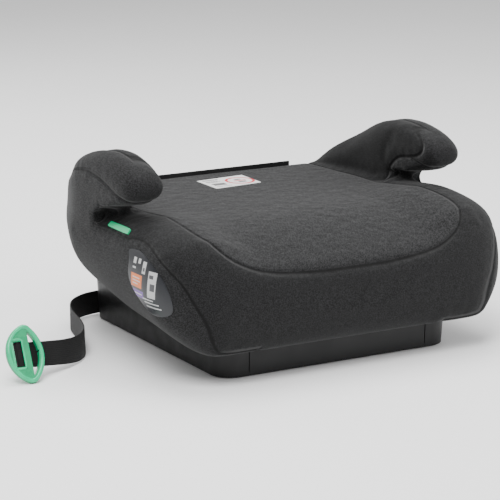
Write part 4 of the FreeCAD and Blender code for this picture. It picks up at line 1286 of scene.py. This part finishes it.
GUIDE_OUTLINE = ((-26.5, -1.5), (-24, -3.4), (0, -3.6), (24, -3.4), (26.5, -1.5), (26.5, 1.5),
                 (24, 3.4), (0, 3.6), (-24, 3.4), (-26.5, 1.5))
MINT = Moulding("mint_guide", (0.0, 0.42, 0.17), 0.35, 0.00004)
GREY = (0.05, 0.05, 0.055)
PALE = (0.42, 0.42, 0.42)
RED = (0.50, 0.02, 0.03)
SEAT_PRINT = Print("seat_label_print", (0.62, 0.62, 0.61), (
    (0.08, 0.40, 0.78, 0.84, GREY), (0.08, 0.34, 0.68, 0.71, GREY), (0.08, 0.38, 0.62, 0.65, GREY),
    (0.08, 0.30, 0.56, 0.59, GREY), (0.10, 0.36, 0.26, 0.46, (0.12, 0.12, 0.12)),
    (0.08, 0.40, 0.14, 0.17, GREY), (0.60, 0.84, 0.47, 0.53, RED),
    (0.66, 0.78, 0.58, 0.66, GREY), (0.64, 0.80, 0.34, 0.42, GREY)),
    0.6, ((0.72, 0.50, 0.27, 0.33, RED),))
SIDE_PRINT = Print("side_label_print", (0.006, 0.007, 0.010), (
    (0.16, 0.44, 0.40, 0.62, (0.62, 0.14, 0.01)), (0.20, 0.38, 0.55, 0.57, PALE),
    (0.20, 0.40, 0.50, 0.52, PALE), (0.20, 0.34, 0.45, 0.47, PALE),
    (0.58, 0.74, 0.30, 0.74, PALE), (0.60, 0.68, 0.62, 0.68, GREY), (0.63, 0.72, 0.42, 0.54, GREY),
    (0.18, 0.25, 0.78, 0.88, PALE), (0.30, 0.36, 0.80, 0.88, PALE), (0.18, 0.26, 0.70, 0.73, PALE),
    (0.42, 0.50, 0.66, 0.86, PALE), (0.44, 0.48, 0.70, 0.76, GREY),
    (0.20, 0.48, 0.24, 0.36, (0.10, 0.03, 0.24)), (0.24, 0.44, 0.29, 0.31, PALE),
    (0.50, 0.80, 0.20, 0.22, PALE), (0.54, 0.84, 0.14, 0.16, PALE), (0.46, 0.70, 0.25, 0.27, PALE)),
    0.35)


def main() -> None:
    """Build every piece in order."""
    logging.basicConfig(level=logging.INFO)
    skin = PaddedCover().make()
    LOG.info("cover: %d faces", len(skin.data.polygons))
    labels = (
        Label("seat_label_cloth", "seat_label", (6.0, 117.0, 158.0), (1.0, 0.0, 0.0), (0.0, 1.0, 0.0),
              ((-33, -28), (32, -22), (33, 28), (-33, 22)), "label_cloth", SEAT_PRINT, soft=False),
        Label("side_label_film", "side_label", (-220.0, 0.0, 0.0), (0.0, -1.0, 0.0), (0.0, 0.0, 1.0),
              ((67, 140), (70, 131), (76, 105), (112, 80), (140, 80), (150, 92), (134, 122), (94, 141)),
              "label_print", SIDE_PRINT),
        Label("belt_guide_strip_left", "belt_guide_left", (-203.5, -24.0, 148.0), (0.0, -1.0, 0.0),
              (0.6, 0.0, 0.8), GUIDE_OUTLINE, "guide_plastic", MINT, 2.0, step=0.9),
        Label("belt_guide_strip_right", "belt_guide_right", (203.5, -24.0, 148.0), (0.0, 1.0, 0.0),
              (-0.6, 0.0, 0.8), GUIDE_OUTLINE, "guide_plastic", MINT, 2.0, step=0.9))
    for label in labels:
        piece = label.make(skin)
        LOG.info("%s: %d faces", piece.name, len(piece.data.polygons))
    rim = ClipRim().make()
    LOG.info("clip rim: %d faces", len(rim.data.polygons))
    strap = GuideStrap().make([rim])
    LOG.info("strap: %d faces", len(strap.data.polygons))
    CarriedParts().make()
    Studio().make()


if __name__ == "__main__":
    main()
